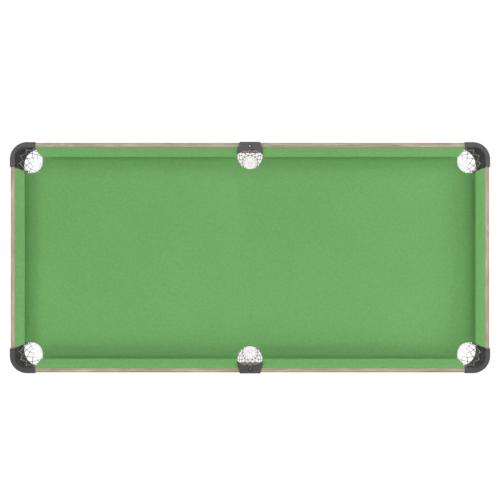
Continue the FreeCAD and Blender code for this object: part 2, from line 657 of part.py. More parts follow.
def lean_out(shape):
    leaned = shape.copy()
    leaned.rotate(PIVOT, Y_AXIS, -SPLAY)
    return leaned


def square_post(y, half, z0, z1, radius, min_edge):
    """Upright square bar with its vertical edges rounded."""
    post = box(HINGE_X - half, HINGE_X + half, y - half, y + half, z0, z1)
    return fillet(post, radius, lambda edge: edge.BoundBox.ZLength > min_edge)


def cross_tube(drop, half):
    """Closed square tube between the uprights, drop below the pivot."""
    wall = 1.5
    z = HINGE_Z - drop
    y = LEG_Y - TUBE / 2 + 0.6
    outer = box(HINGE_X - half, HINGE_X + half, -y, y, z - half, z + half)
    outer = fillet(outer, 2.0, lambda edge: edge.BoundBox.YLength > 100)
    half -= wall
    y -= 0.7
    return outer.cut(box(HINGE_X - half, HINGE_X + half, -y, y, z - half, z + half))


def leg_frame():
    back, front = [square_post(y, TUBE / 2, Z_TUBE_END, HINGE_Z + 12, 3.0, 100)
                   for y in (LEG_Y, -LEG_Y)]
    bores = [square_post(y, TUBE / 2 - TUBE_WALL, Z_TUBE_END - 1, HINGE_Z + 13, 1.5, 100)
             for y in (LEG_Y, -LEG_Y)]
    frame = back.fuse([front, cross_tube(118.0, 10.0), cross_tube(520.0, 12.5)])
    frame = frame.cut(bores)
    frame = frame.cut(y_cylinder(HINGE_X, HINGE_Z, PIVOT_R + FIT, -400, 400))
    middle = box(HINGE_X - 50, HINGE_X + 50, -LEG_Y + TUBE, LEG_Y - TUBE, 0, 800)
    lock_hole = y_cylinder(HINGE_X, LOCK_Z, KNOB_STUD_R + FIT, -400, 400).cut(middle)
    return lean_out(frame.cut(lock_hole).removeSplitter())


def leg_plug(y):
    """Flanged plug in a tube end, bored for the foot stud."""
    body = square_post(y, TUBE / 2 - TUBE_WALL - 0.05, Z_TUBE_END, Z_TUBE_END + 26, 1.6, 20)
    flange_low = Z_TUBE_END - 3.5
    flange = square_post(y, TUBE / 2, flange_low, Z_TUBE_END, 3.0, 3)
    flange = fillet(flange, 1.0, lambda edge: mid_at_z(edge, flange_low))
    bore = z_cylinder(HINGE_X, y, FOOT_STUD_R + FIT, Z_TUBE_END - 10, Z_TUBE_END + 40)
    return lean_out(body.fuse(flange).removeSplitter().cut(bore))


save_right_left("leg_frame_{}", leg_frame())
save_right_left("leg_plugs_{}", leg_plug(LEG_Y), leg_plug(-LEG_Y))

# ---------------------------------------------------------------- levelling feet
BALL_R, BALL_Z = 6.0, 9.0
STUD_L = 52.0
lean = math.radians(SPLAY)
leg_up = Vec(-math.sin(lean), 0, math.cos(lean))
ball = Vec(HINGE_X + (HINGE_Z - BALL_Z) * math.tan(lean), LEG_Y, BALL_Z)
PAD_PROFILE = [                 # radius, z
    (0, 0), (22, 0), (22.5, 0.8), (22.5, 4.0), (20.5, 6.0), (13.0, 8.0), (10.5, 13.0), (0, 13.0),
]


def foot_stud():
    """Ball-ended stud in line with the leaning leg, with a hexagonal collar."""
    stud = Part.makeCylinder(FOOT_STUD_R, STUD_L, ball, leg_up)
    stud = stud.fuse(Part.makeSphere(BALL_R, ball))
    collar = hexagon_face(ball + leg_up * 8.5, 9.0, Y_AXIS, leg_up.cross(Y_AXIS))
    stud = stud.fuse(collar.extrude(leg_up * 5.0))
    tip = Part.makeCone(FOOT_STUD_R, FOOT_STUD_R - 1.2, 1.5, ball + leg_up * STUD_L, leg_up)
    return stud.fuse(tip).removeSplitter()


def foot_pad():
    """Round pad with a ball socket and a flared mouth."""
    pad = polygon_face([Vec(radius, 0, z) for radius, z in PAD_PROFILE])
    pad = pad.revolve(Vec(0, 0, 0), Z_AXIS, 360)
    pad = pad.cut(Part.makeSphere(BALL_R + FIT, Vec(0, 0, BALL_Z)))
    pad = pad.cut(Part.makeCone(5.75, 8.6, 3.0, Vec(0, 0, 10.4), Z_AXIS))
    pad.translate(Vec(ball.x, ball.y, 0))
    return pad


save_quarters("foot_pad_{x}_{y}", foot_pad())
save_quarters("foot_stud_{x}_{y}", foot_stud())

# ---------------------------------------------------------------- locking knobs
KNOB_R = 18.0
GRIP_R, GRIP_CENTRE_R = 7.0, 21.5   # six finger hollows round the rim


def lock_knob():
    face_y = INNER_Y0 - 1.5         # between the hub and the washer
    body = y_cylinder(HINGE_X, LOCK_Z, KNOB_R, face_y - 16.0, face_y - 1.5)
    body = fillet(body, 1.6, lambda edge: edge.Closed and edge.BoundBox.XLength > 30)
    for k in range(6):
        x, z = polar(HINGE_X, LOCK_Z, GRIP_CENTRE_R, math.radians(60 * k + 30))
        body = body.cut(y_cylinder(x, z, GRIP_R, face_y - 20, face_y + 10))
    hub = y_cylinder(HINGE_X, LOCK_Z, 9.5, face_y - 1.6, face_y)
    washer = y_cylinder(HINGE_X, LOCK_Z, 9.0, face_y, face_y + 1.2)
    stud = y_cylinder(HINGE_X, LOCK_Z, KNOB_STUD_R, face_y - 6, LEG_Y + TUBE / 2 - 1)
    return lean_out(body.fuse([hub, washer, stud]).removeSplitter())


save_quarters("lock_knob_{x}_{y}", lock_knob())
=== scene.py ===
"""A pool table with six net pockets and two leaning leg frames.

The floor is z = 0 and +Z is up. The long boards run along X: +X is right, -X left, +Y back and
-Y front. Meshes are worked out in millimetres, materials, lights and camera in metres.
"""

import math
from fnmatch import fnmatchcase
from functools import reduce

import bmesh
import bpy
import numpy as np
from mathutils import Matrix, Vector


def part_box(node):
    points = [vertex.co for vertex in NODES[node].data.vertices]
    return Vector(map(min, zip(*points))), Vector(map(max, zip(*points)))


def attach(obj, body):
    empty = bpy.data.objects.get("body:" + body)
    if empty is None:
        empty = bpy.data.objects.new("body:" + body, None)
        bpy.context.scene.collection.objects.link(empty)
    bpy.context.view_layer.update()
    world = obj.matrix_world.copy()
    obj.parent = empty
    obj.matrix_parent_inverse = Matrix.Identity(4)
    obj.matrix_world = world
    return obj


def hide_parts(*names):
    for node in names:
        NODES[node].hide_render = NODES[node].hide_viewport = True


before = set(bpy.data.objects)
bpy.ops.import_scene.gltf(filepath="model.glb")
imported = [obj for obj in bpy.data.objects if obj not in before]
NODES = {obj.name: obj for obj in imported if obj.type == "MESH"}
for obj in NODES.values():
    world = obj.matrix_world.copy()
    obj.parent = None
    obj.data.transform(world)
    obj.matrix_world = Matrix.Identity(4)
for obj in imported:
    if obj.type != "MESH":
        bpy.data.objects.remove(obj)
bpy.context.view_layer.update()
MM = 0.001
TAU = 2 * math.pi
UP = np.array([0, 0, 1.0])

# ------------------------------------------------------------ places taken from the frame
_, cloth_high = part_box("bed_cloth")
_, long_cover_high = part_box("cushion_cover_back_right")
_, end_cover_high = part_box("cushion_cover_right_end")
panel_low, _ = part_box("bed_panel")
net_low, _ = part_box("pocket_net_back_right")

BED_X = cloth_high.x / MM               # half length of the bed cloth
BED_Y = cloth_high.y / MM               # half width of the bed cloth
Z_BED = cloth_high.z / MM
Y_IN = long_cover_high.y / MM           # inner face of the long boards
X_IN = end_cover_high.x / MM            # inner face of the end boards
Z_TOP = long_cover_high.z / MM
Z_UNDER = panel_low.z / MM              # underside of the bed panel
Z_NET = net_low.z / MM                  # lowest point of the nets
Z_HOOP = Z_UNDER - 3.2                  # centre of the pocket hoop wire


# ============================================================ node helpers
class Nodes:
    """Adds nodes to an emptied node tree."""

    def __init__(self, tree):
        self.tree = tree
        tree.nodes.clear()

    def put(self, socket, value):
        """Links an output to the socket, or sets the socket's value."""
        if isinstance(value, bpy.types.NodeSocket):
            self.tree.links.new(value, socket)
        else:
            socket.default_value = value

    def node(self, kind, props=None, inputs=()):
        """inputs is a dict by socket name, or a sequence in socket order."""
        node = self.tree.nodes.new(kind)
        for key, value in (props or {}).items():
            setattr(node, key, value)
        items = inputs.items() if isinstance(inputs, dict) else enumerate(inputs)
        for key, value in items:
            self.put(node.inputs[key], value)
        return node

    def math(self, operation, *values):
        return self.node("ShaderNodeMath", {"operation": operation}, values).outputs[0]

    def mul(self, *values):
        return reduce(lambda a, b: self.math("MULTIPLY", a, b), values)

    def add(self, *values):
        return reduce(lambda a, b: self.math("ADD", a, b), values)

    def split(self, vector):
        return tuple(self.node("ShaderNodeSeparateXYZ", {}, (vector,)).outputs)

    def remap(self, value, source, target=(0.0, 1.0)):
        """Takes the source range to the target range, clamped."""
        inputs = (value, *source, *target)
        return self.node("ShaderNodeMapRange", {"clamp": True}, inputs).outputs[0]


class Material(Nodes):
    """A Principled material in object coordinates."""

    def __init__(self, name):
        self.material = bpy.data.materials.new(name)
        self.material.use_nodes = True
        super().__init__(self.material.node_tree)
        self.bsdf = self.node("ShaderNodeBsdfPrincipled")
        self.node("ShaderNodeOutputMaterial", {}, (self.bsdf.outputs[0],))
        coordinates = self.node("ShaderNodeTexCoord")
        self.pos = coordinates.outputs["Object"]
        self.uv = coordinates.outputs["UV"]

    def vec(self, x, y, z):
        return self.node("ShaderNodeCombineXYZ", {}, (x, y, z)).outputs[0]

    def normal(self):
        return self.node("ShaderNodeNewGeometry").outputs["Normal"]

    def noise(self, scale=1.0, detail=3.0, rough=0.5, stretch=None, at=None):
        """Noise at a position, which stretch multiplies axis by axis first."""
        at = at or self.pos
        if stretch:
            props = {"operation": "MULTIPLY"}
            at = self.node("ShaderNodeVectorMath", props, (at, stretch)).outputs[0]
        inputs = {"Vector": at, "Scale": scale, "Detail": detail, "Roughness": rough}
        inputs["Distortion"] = 0.0
        return self.node("ShaderNodeTexNoise", {"noise_dimensions": "3D"}, inputs).outputs["Fac"]

    def cells(self, scale, output="Distance"):
        inputs = {"Vector": self.pos, "Scale": scale}
        return self.node("ShaderNodeTexVoronoi", {"feature": "F1"}, inputs).outputs[output]

    def waves(self, value, rate):
        return self.math("SINE", self.mul(value, rate))

    def vary(self, noise, low, high):
        """Takes the range that most of a noise lies in to low..high."""
        return self.remap(noise, (0.3, 0.7), (low, high))

    def ramp(self, value, stops):
        node = self.node("ShaderNodeValToRGB", {}, (value,))
        elements = node.color_ramp.elements
        while len(elements) > 1:
            elements.remove(elements[-1])
        elements[0].position = stops[0][0]
        elements[0].color = (*stops[0][1], 1)
        for position, colour in stops[1:]:
            elements.new(position).color = (*colour, 1)
        return node.outputs[0]

    def mix(self, factor, a, b, blend="MIX"):
        props = {"data_type": "RGBA", "blend_type": blend, "clamp_factor": True}
        node = self.node("ShaderNodeMix", props, (factor,))
        for index, colour in ((6, a), (7, b)):
            is_socket = isinstance(colour, bpy.types.NodeSocket)
            self.put(node.inputs[index], colour if is_socket else (*colour, 1))
        return node.outputs[2]

    def gain(self, colour, factor):
        inputs = {0: colour, 3: factor}
        return self.node("ShaderNodeVectorMath", {"operation": "SCALE"}, inputs).outputs[0]

    def bump(self, height, distance, strength, over=None):
        inputs = {"Strength": strength, "Distance": distance, "Height": height}
        if over is not None:
            inputs["Normal"] = over
        return self.node("ShaderNodeBump", {}, inputs).outputs[0]

    def worn_edges(self, radius, span):
        """1 on worn edges, 0 on flats; span is the range of bending that counts as an edge."""
        bevel = self.node("ShaderNodeBevel", {"samples": 4}, {"Radius": radius}).outputs[0]
        props = {"operation": "DOT_PRODUCT"}
        dot = self.node("ShaderNodeVectorMath", props, (bevel, self.normal())).outputs["Value"]
        return self.remap(self.math("SUBTRACT", 1.0, dot), span)

    def done(self, **inputs):
        for key, value in inputs.items():
            self.put(self.bsdf.inputs[key.replace("_", " ")], value)
        return self.material


def scaled(colour, factors):
    return tuple(c * f for c, f in zip(colour, factors))


# ============================================================ materials
GREEN = (0.1640, 0.4020, 0.1290)
WEAVE_WAVE = 0.0011
BOARD_THICKNESS = 0.016


def cloth_material(name, fibre_stretch):
    """Napped green wool in a plain weave, its fibres drawn out by fibre_stretch."""
    mat = Material(name)
    x, y, z = mat.split(mat.pos)
    broad = mat.noise(scale=5.0, detail=2.0)
    patch = mat.noise(scale=135.0, detail=4.0, rough=0.66)
    fibre = mat.noise(scale=620.0, rough=0.6, stretch=fibre_stretch)
    tint = mat.mix(mat.remap(mat.noise(scale=120.0, rough=0.6), (0.32, 0.68)),
                   scaled(GREEN, (0.93, 1.005, 0.98)), scaled(GREEN, (1.07, 0.995, 1.02)))
    # two crossing sets of threads
    rate = TAU / WEAVE_WAVE
    weave = mat.mul(mat.add(mat.waves(x, rate), mat.waves(z, rate)),
                    mat.add(mat.waves(y, rate), 0.4))
    shade = mat.mul(mat.vary(broad, 0.985, 1.015),
                    mat.remap(patch, (0.28, 0.72), (0.895, 1.095)),
                    mat.remap(fibre, (0.2, 0.8), (0.93, 1.07)),
                    mat.remap(weave, (-1.6, 1.6), (0.965, 1.03)))
    height = mat.add(mat.mul(weave, 0.25), mat.mul(fibre, 1.1))
    nap = mat.bump(patch, distance=0.0004, strength=0.25)
    return mat.done(
        Base_Color=mat.gain(tint, shade),
        Roughness=mat.remap(fibre, (0.2, 0.8), (0.86, 0.98)),
        Sheen_Weight=0.18, Sheen_Roughness=0.55, Sheen_Tint=(0.62, 0.9, 0.55, 1),
        Specular_IOR_Level=0.12,
        Normal=mat.bump(height, distance=0.00022, strength=0.55, over=nap))


FOIL_GRAIN = [                          # place on the ramp, colour
    (0.32, (0.205, 0.155, 0.110)), (0.42, (0.330, 0.264, 0.196)),
    (0.49, (0.445, 0.370, 0.288)), (0.56, (0.530, 0.452, 0.362)),
    (0.66, (0.620, 0.545, 0.452))]


def foil_grain(mat, straight, wavy, z, fine):
    """The printed grain, in coordinates of along, across and z."""
    broad = mat.noise(stretch=(3.4, 110.0, 42.0), at=wavy)
    # cathedral rings on the wide faces
    drift = mat.mul(mat.noise(stretch=(1.6, 6.0, 9.0), detail=2.0, at=straight), 0.16)
    ring = mat.waves(mat.add(mat.mul(z, 1.0), drift), 520.0)
    grain = mat.add(mat.mul(fine, 0.62), mat.mul(broad, 0.28), mat.mul(mat.add(ring, 1.0), 0.035))
    colour = mat.ramp(grain, FOIL_GRAIN)
    warm = mat.noise(stretch=(1.3, 150.0, 60.0), detail=2.0, at=wavy)
    colour = mat.mix(mat.remap(warm, (0.48, 0.7), (0.0, 0.35)), colour, (0.470, 0.345, 0.275))
    # short dark streaks lying with the grain
    streak = mat.noise(stretch=(72.0, 560.0, 340.0), detail=5.0, rough=0.68, at=wavy)
    streak = mat.remap(streak, (0.50, 0.64))
    colour = mat.mix(mat.mul(streak, 0.62), colour, (0.225, 0.165, 0.115))
    band = mat.noise(stretch=(7.0, 60.0, 30.0), detail=2.0, at=wavy)
    return mat.gain(colour, mat.remap(band, (0.35, 0.65), (0.86, 1.10)))


def foil_faces(mat, colour, axis, along, across, straight, fine):
    """Colours the inner face and the top edge of a board."""
    inner = (Y_IN if axis == "X" else X_IN) * MM
    corner_shade_from = 0.848 if axis == "X" else 0.351
    # depth through the board: 0 at the inner face, 1 at the outer
    offset = mat.math("SUBTRACT", mat.math("ABSOLUTE", across), inner)
    ragged = mat.noise(stretch=(18.0, 60.0, 60.0), rough=0.6, at=straight)
    depth = mat.add(mat.math("DIVIDE", offset, BOARD_THICKNESS),
                    mat.mul(mat.math("SUBTRACT", ragged, 0.5), 0.35))
    facing = mat.split(mat.normal())
    up = mat.remap(facing[2], (0.6, 0.95))
    # the inner face carries a plain reddish backing paper
    inward = mat.mul(facing[1 if axis == "X" else 0], mat.math("SIGN", across))
    inner_face = mat.remap(inward, (-0.5, -0.9))
    paper = mat.gain((0.640, 0.445, 0.335), mat.vary(fine, 0.86, 1.1))
    colour = mat.mix(inner_face, colour, paper)
    # painted shadow: the inner face is darkened nearly to black where it runs into the corner
    # castings
    corner_shade = mat.remap(mat.math("ABSOLUTE", along), (corner_shade_from, corner_shade_from + 0.006), (0.0, 0.95))
    colour = mat.mix(mat.mul(inner_face, corner_shade), colour, (0.035, 0.032, 0.032))
    # the top edge: dark outer rim, pinkish strip along the cloth, lighter middle
    rim = mat.mul(mat.remap(depth, (0.66, 0.98)), up)
    colour = mat.mix(mat.mul(rim, 0.62), colour, (0.225, 0.170, 0.122))
    strip = mat.mul(mat.remap(depth, (0.34, 0.06)), up)
    colour = mat.mix(mat.mul(strip, 0.60), colour, (0.520, 0.315, 0.250))
    middle = mat.mul(mat.remap(depth, (0.22, 0.42)), mat.remap(depth, (0.78, 0.58)), up)
    return mat.mix(mat.mul(middle, 0.30), colour, (0.560, 0.500, 0.410))


def foil_material(name, axis, level):
    """Grey-brown wood-grain foil, the grain running along axis; level is its brightness."""
    mat = Material(name)
    x, y, z = mat.split(mat.pos)
    along, across = (x, y) if axis == "X" else (y, x)
    straight = mat.vec(along, across, z)
    wave = mat.mul(mat.math("SUBTRACT", mat.noise(scale=3.2, at=straight), 0.5), 0.020)
    wavy = mat.vec(along, mat.add(across, wave), mat.add(z, wave))
    fine = mat.noise(stretch=(13.0, 420.0, 300.0), detail=7.0, rough=0.62, at=wavy)
    colour = foil_grain(mat, straight, wavy, z, fine)
    colour = foil_faces(mat, colour, axis, along, across, straight, fine)
    pore = mat.noise(stretch=(42.0, 1500.0, 1200.0), detail=4.0, rough=0.7, at=wavy)
    pores = mat.remap(pore, (0.60, 0.70))
    colour = mat.mix(mat.mul(pores, 0.42), colour, (0.185, 0.138, 0.098))
    worn = mat.worn_edges(radius=0.0016, span=(0.03, 0.4))
    colour = mat.mix(mat.mul(worn, 0.15), colour, (0.60, 0.53, 0.44))
    colour = mat.mix(1.0, colour, (level, level * 0.995, level * 0.925), blend="MULTIPLY")
    height = mat.math("SUBTRACT", mat.mul(fine, 0.5), mat.mul(pores, 0.6))
    return mat.done(Base_Color=colour, Roughness=mat.vary(fine, 0.46, 0.64),
                    Specular_IOR_Level=0.32,
                    Normal=mat.bump(height, distance=0.00025, strength=0.5))


def moulding_material(name, base, grain, worn, spec, painted_side_shade=None):
    """Pebbled dark moulding. grain scales the pebbles, worn lightens the edges and the side level
    darkens the faces that do not look up, as painted shade."""
    mat = Material(name)
    pebble = mat.cells(scale=grain)
    cloud = mat.noise(scale=22.0, detail=4.0, rough=0.6)
    dust = mat.remap(mat.noise(scale=210.0, detail=4.0, rough=0.7), (0.58, 0.78), (0.0, 0.10))
    colour = mat.gain(base, mat.vary(cloud, 0.93, 1.07))
    colour = mat.mix(dust, colour, [c * 2.2 + 0.03 for c in base])
    patchy = mat.remap(mat.noise(scale=160.0, rough=0.6), (0.35, 0.65), (0.25, 1.0))
    edge = mat.mul(mat.worn_edges(radius=0.0010, span=(0.03, 0.45)), patchy)
    colour = mat.mix(mat.mul(edge, worn), colour, [c * 1.9 + 0.02 for c in base])
    if painted_side_shade is not None:
        # painted shade: faces that do not look up are darkened, standing in for the shade on the
        # sides and inside the moulding; the top keeps its full tone
        levels = ((0.0, painted_side_shade), (0.30, painted_side_shade), (0.55, 0.94), (0.97, 1.0))
        painted_shade_tone = mat.ramp(mat.split(mat.normal())[2], [(at, (grey,) * 3) for at, grey in levels])
        colour = mat.mix(1.0, colour, painted_shade_tone, blend="MULTIPLY")
    soft = mat.bump(mat.noise(scale=260.0, detail=2.0), distance=0.00015, strength=0.2)
    return mat.done(Base_Color=colour,
                    Roughness=mat.add(mat.vary(cloud, 0.42, 0.55), mat.mul(edge, -0.06)),
                    Specular_IOR_Level=spec,
                    Normal=mat.bump(pebble, distance=0.00012, strength=0.45, over=soft))


def powder_material(name, base):
    """Powder coat: fine orange peel, a little bare steel along the worn edges."""
    mat = Material(name)
    peel = mat.noise(scale=900.0, detail=2.0, rough=0.45)
    cloud = mat.noise(scale=14.0, detail=4.0, rough=0.6)
    scuff = mat.noise(stretch=(260.0, 260.0, 18.0), detail=5.0, rough=0.7)
    scuffs = mat.remap(scuff, (0.70, 0.76), (0.0, 0.22))
    patchy = mat.remap(mat.noise(scale=120.0, detail=4.0, rough=0.7), (0.50, 0.62))
    edge = mat.mul(mat.worn_edges(radius=0.0012, span=(0.05, 0.5)), patchy)
    colour = mat.mix(scuffs, mat.gain(base, mat.vary(cloud, 0.9, 1.12)), (0.10, 0.10, 0.105))
    colour = mat.mix(mat.mul(edge, 0.35), colour, (0.24, 0.24, 0.25))
    return mat.done(Base_Color=colour, Roughness=mat.vary(cloud, 0.34, 0.47),
                    Metallic=mat.mul(edge, 0.3), Specular_IOR_Level=0.5,
                    Normal=mat.bump(peel, distance=0.00010, strength=0.5))


def plated_material(name, base, rough):
    """Plated steel with a crystalline spangle, brushing along X and dull stains."""
    mat = Material(name)
    spangle = mat.cells(scale=240.0)
    cloud = mat.noise(scale=60.0, detail=4.0, rough=0.6)
    brush = mat.noise(stretch=(90.0, 2400.0, 2400.0), rough=0.6)
    stain = mat.remap(mat.noise(scale=34.0, detail=5.0, rough=0.7), (0.55, 0.75), (0.0, 0.35))
    shade = mat.mul(mat.vary(cloud, 0.86, 1.1), mat.remap(spangle, (0.0, 0.6), (0.94, 1.06)))
    colour = mat.mix(stain, mat.gain(base, shade), scaled(base, (0.62, 0.58, 0.50)))
    roughness = mat.add(mat.vary(brush, rough - 0.07, rough + 0.09), mat.mul(stain, 0.35))
    return mat.done(Base_Color=colour, Metallic=1.0, Roughness=roughness,
                    Normal=mat.bump(brush, distance=0.00005, strength=0.35))


def pine_material(name, axis):
    """Pine with its growth rings drawn out along axis."""
    mat = Material(name)
    x, y, z = mat.split(mat.pos)
    along, across = (x, y) if axis == "X" else (y, x)
    straight = mat.vec(along, across, z)
    bend = mat.noise(stretch=(1.6, 9.0, 9.0), at=straight)
    depth = mat.add(mat.mul(across, 1.0), mat.add(mat.mul(z, 0.6), mat.mul(bend, 0.05)))
    late_wood = mat.remap(mat.waves(depth, 1150.0), (-0.2, 1.0))
    fine = mat.noise(stretch=(9.0, 700.0, 700.0), detail=5.0, rough=0.65, at=straight)
    colour = mat.mix(mat.mul(late_wood, 0.6), (0.610, 0.455, 0.275), (0.420, 0.262, 0.130))
    return mat.done(Base_Color=mat.gain(colour, mat.vary(fine, 0.88, 1.1)),
                    Roughness=mat.vary(fine, 0.55, 0.74), Specular_IOR_Level=0.25,
                    Normal=mat.bump(fine, distance=0.0003, strength=0.5))


def board_material(name):
    """Raw fibreboard: short speckled fibres."""
    mat = Material(name)
    chip = mat.split(mat.cells(scale=420.0, output="Color"))[0]
    cloud = mat.noise(scale=9.0, detail=4.0, rough=0.6)
    fibre = mat.noise(scale=900.0, detail=4.0, rough=0.7)
    colour = mat.ramp(chip, [(0.0, (0.250, 0.160, 0.088)), (0.35, (0.345, 0.235, 0.138)),
                             (0.75, (0.405, 0.290, 0.180)), (1.0, (0.495, 0.375, 0.250))])
    shade = mat.mul(mat.vary(cloud, 0.92, 1.08), mat.remap(fibre, (0.25, 0.75), (0.9, 1.1)))
    return mat.done(Base_Color=mat.gain(colour, shade), Roughness=0.82, Specular_IOR_Level=0.18,
                    Normal=mat.bump(fibre, distance=0.0003, strength=0.6))


def rubber_material(name):
    """Brown rubber with fine lines, one every 1.2 mm of height."""
    mat = Material(name)
    z = mat.split(mat.pos)[2]
    speck = mat.noise(scale=700.0, rough=0.6)
    height = mat.add(speck, mat.mul(mat.waves(z, TAU / 0.0012), 0.3))
    return mat.done(Base_Color=mat.gain((0.300, 0.195, 0.115), mat.vary(speck, 0.88, 1.1)),
                    Roughness=0.72, Specular_IOR_Level=0.3,
                    Normal=mat.bump(height, distance=0.0002, strength=0.5))


# cord colours by height, painted light and shade: lit at the top, shaded in the belly, lighter
# again at the foot
CORD_TOP_LIT = (0.88, 0.875, 0.86)
CORD_BELLY_SHADED = (0.47, 0.445, 0.435)       # painted shade in the belly of the net
CORD_FOOT = (0.66, 0.655, 0.64)


def cord_material(name):
    """Twisted cord; the UVs hold the length in metres and the turn round the cord."""
    mat = Material(name)
    length, turn, _ = mat.split(mat.uv)
    strands = mat.math("SINE", mat.add(mat.mul(length, TAU / 0.0035), mat.mul(turn, TAU * 2)))
    fuzz = mat.noise(scale=2600.0, rough=0.6)
    grime = mat.remap(mat.noise(scale=70.0, rough=0.6), (0.50, 0.75), (0.0, 0.22))
    uneven = mat.math("SUBTRACT", mat.noise(scale=55.0, rough=0.6), 0.5)
    height = mat.add(mat.split(mat.pos)[2], mat.mul(uneven, 0.010))
    # painted light and shade: the colour follows height, lit above, shaded in the belly, lighter
    # at the foot
    colour = mat.mix(mat.remap(height, (0.697, 0.712)), CORD_BELLY_SHADED, CORD_TOP_LIT)
    colour = mat.mix(mat.remap(height, (0.648, 0.628)), colour, CORD_FOOT)
    shade = mat.mul(mat.remap(strands, (-1.0, 1.0), (0.84, 1.06)),
                    mat.remap(fuzz, (0.25, 0.75), (0.9, 1.1)))
    colour = mat.mix(grime, mat.gain(colour, shade), (0.50, 0.47, 0.42))
    relief = mat.add(strands, mat.mul(fuzz, 0.6))
    return mat.done(Base_Color=colour, Roughness=0.85, Specular_IOR_Level=0.2, Sheen_Weight=0.15,
                    Normal=mat.bump(relief, distance=0.00025, strength=0.6))


ALONG_X = (0.45, 1.0, 1.0)
ALONG_Y = (1.0, 0.45, 1.0)
MATERIALS = {
    "bed": cloth_material("cloth_bed_green", ALONG_X),
    "cushion_x": cloth_material("cloth_cushion_long", ALONG_X),
    "cushion_y": cloth_material("cloth_cushion_end", ALONG_Y),
    "foil_back": foil_material("wood_foil_back", "X", level=1.03),
    "foil_front": foil_material("wood_foil_front", "X", level=1.03),
    "foil_y": foil_material("wood_foil_end", "Y", level=1.04),
    "casting": moulding_material("dark_casting", (0.059, 0.0570, 0.0645), grain=1300.0,
                                 worn=0.40, spec=0.42, painted_side_shade=0.58),
    "plastic": moulding_material("black_plastic", (0.022, 0.022, 0.023), grain=1100.0,
                                 worn=0.35, spec=0.4),
    "tube": powder_material("black_powder_coat", (0.020, 0.020, 0.022)),
    "wire": powder_material("black_wire_coat", (0.022, 0.022, 0.024)),
    "zinc": plated_material("zinc_plate", (0.56, 0.57, 0.585), rough=0.34),
    "screw": plated_material("bright_screw", (0.70, 0.70, 0.705), rough=0.22),
    "rail_screw": plated_material("dulled_screw", (0.34, 0.345, 0.36), rough=0.46),
    "pine_x": pine_material("pine_long", "X"),
    "pine_y": pine_material("pine_cross", "Y"),
    "mdf": board_material("fibreboard"),
    "rubber": rubber_material("cushion_rubber"),
    "cord": cord_material("net_cord"),
}

PAINT = {                               # node name pattern: material
    "back_frame_board": "foil_back", "front_frame_board": "foil_front",
    "right_frame_board": "foil_y", "left_frame_board": "foil_y",
    "corner_casting*": "casting", "side_casting_back": "casting",
    "side_casting_front": "casting", "side_casting_screws": "rail_screw",
    "corner_screws": "screw", "pan_head_screws": "screw",
    "bed_panel": "mdf", "bed_cloth": "bed", "bed_ledgers": "pine_x",
    "cushion_subrails": "pine_x", "cushion_rubbers": "rubber", "cushion_cover*": "bed",
    "cross_battens": "pine_y", "leg_plank*": "pine_y",
    "pocket_hoop*": "wire", "pocket_net*": "cord",
    "leg_pivot_bolts": "zinc", "leg_bracket*": "zinc", "foot_stud*": "zinc",
    "leg_frame*": "tube",
    "leg_plugs*": "plastic", "foot_pad*": "plastic", "lock_knob*": "plastic",
}


def paint_nodes():
    for name in NODES:
        for pattern, material in PAINT.items():
            if fnmatchcase(name, pattern):
                mesh = NODES[name].data
                mesh.materials.clear()
                mesh.materials.append(MATERIALS[material])
                for polygon in mesh.polygons:
                    polygon.material_index = 0


paint_nodes()


# ============================================================ mesh helpers
def make(name, verts, faces, mat, sharp, body="table_top", uvs=None, replaced=None):
    """A mesh object from millimetres, set on its body. Edges over sharp degrees stay crisp."""
    mesh = bpy.data.meshes.new(name)
    mesh.from_pydata((np.asarray(verts, float) * MM).tolist(), [], faces)
    mesh.validate(clean_customdata=False)
    mesh.update()
    if uvs is not None:
        layer = mesh.uv_layers.new(name="UVMap")
        corners = np.zeros(len(mesh.loops), np.int64)
        mesh.loops.foreach_get("vertex_index", corners)
        layer.data.foreach_set("uv", np.asarray(uvs, float)[corners].astype(np.float32).ravel())
    bm = bmesh.new()
    bm.from_mesh(mesh)
    bmesh.ops.recalc_face_normals(bm, faces=bm.faces)
    bm.to_mesh(mesh)
    bm.free()
    mesh.polygons.foreach_set("use_smooth", [True] * len(mesh.polygons))
    mesh.set_sharp_from_angle(angle=math.radians(sharp))
    mesh.materials.append(MATERIALS[mat])
    obj = bpy.data.objects.new(name, mesh)
    bpy.context.scene.collection.objects.link(obj)
    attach(obj, body)
    if replaced:
        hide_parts(replaced)


def side_faces(rings, sides, start=0, closed=False):
    """Quads between successive rings of vertices; closed joins the last ring to the first."""
    faces = []
    for i in range(rings if closed else rings - 1):
        a = start + i * sides
        b = start + (i + 1) % rings * sides
        for j in range(sides):
            k = (j + 1) % sides
            faces.append((a + j, a + k, b + k, b + j))
    return faces


def end_caps(rings, sides, start=0):
    last = start + (rings - 1) * sides
    return [tuple(reversed(range(start, start + sides))), tuple(range(last, last + sides))]


def loft_faces(rings, sides):
    return side_faces(rings, sides) + [cap[::-1] for cap in end_caps(rings, sides)]


def unit(vector):
    return vector / np.linalg.norm(vector)


def bezier(a, b, c, count):
    a, b, c = (np.asarray(point, float) for point in (a, b, c))
    return [(1 - t) ** 2 * a + 2 * t * (1 - t) * b + t * t * c for t in np.linspace(0, 1, count)]


def arc_lengths(points):
    return np.concatenate([[0], np.cumsum(np.linalg.norm(np.diff(points, axis=0), axis=1))])


def round_corners(table):
    """A closed polygon from rows of x, y, corner radius, each corner made of five points."""
    points = np.array(table, float)[:, :2]
    out = []
    for i, (_, _, radius) in enumerate(table):
        point = points[i]
        before = points[i - 1] - point
        after = points[(i + 1) % len(points)] - point
        before_length, after_length = np.linalg.norm(before), np.linalg.norm(after)
        before, after = before / before_length, after / after_length
        half = math.acos(max(-1, min(1, float(before @ after)))) / 2
        cut = min(radius / math.tan(half), 0.48 * before_length, 0.48 * after_length)
        out += bezier(point + before * cut, point, point + after * cut, 5)
    return np.array(out)


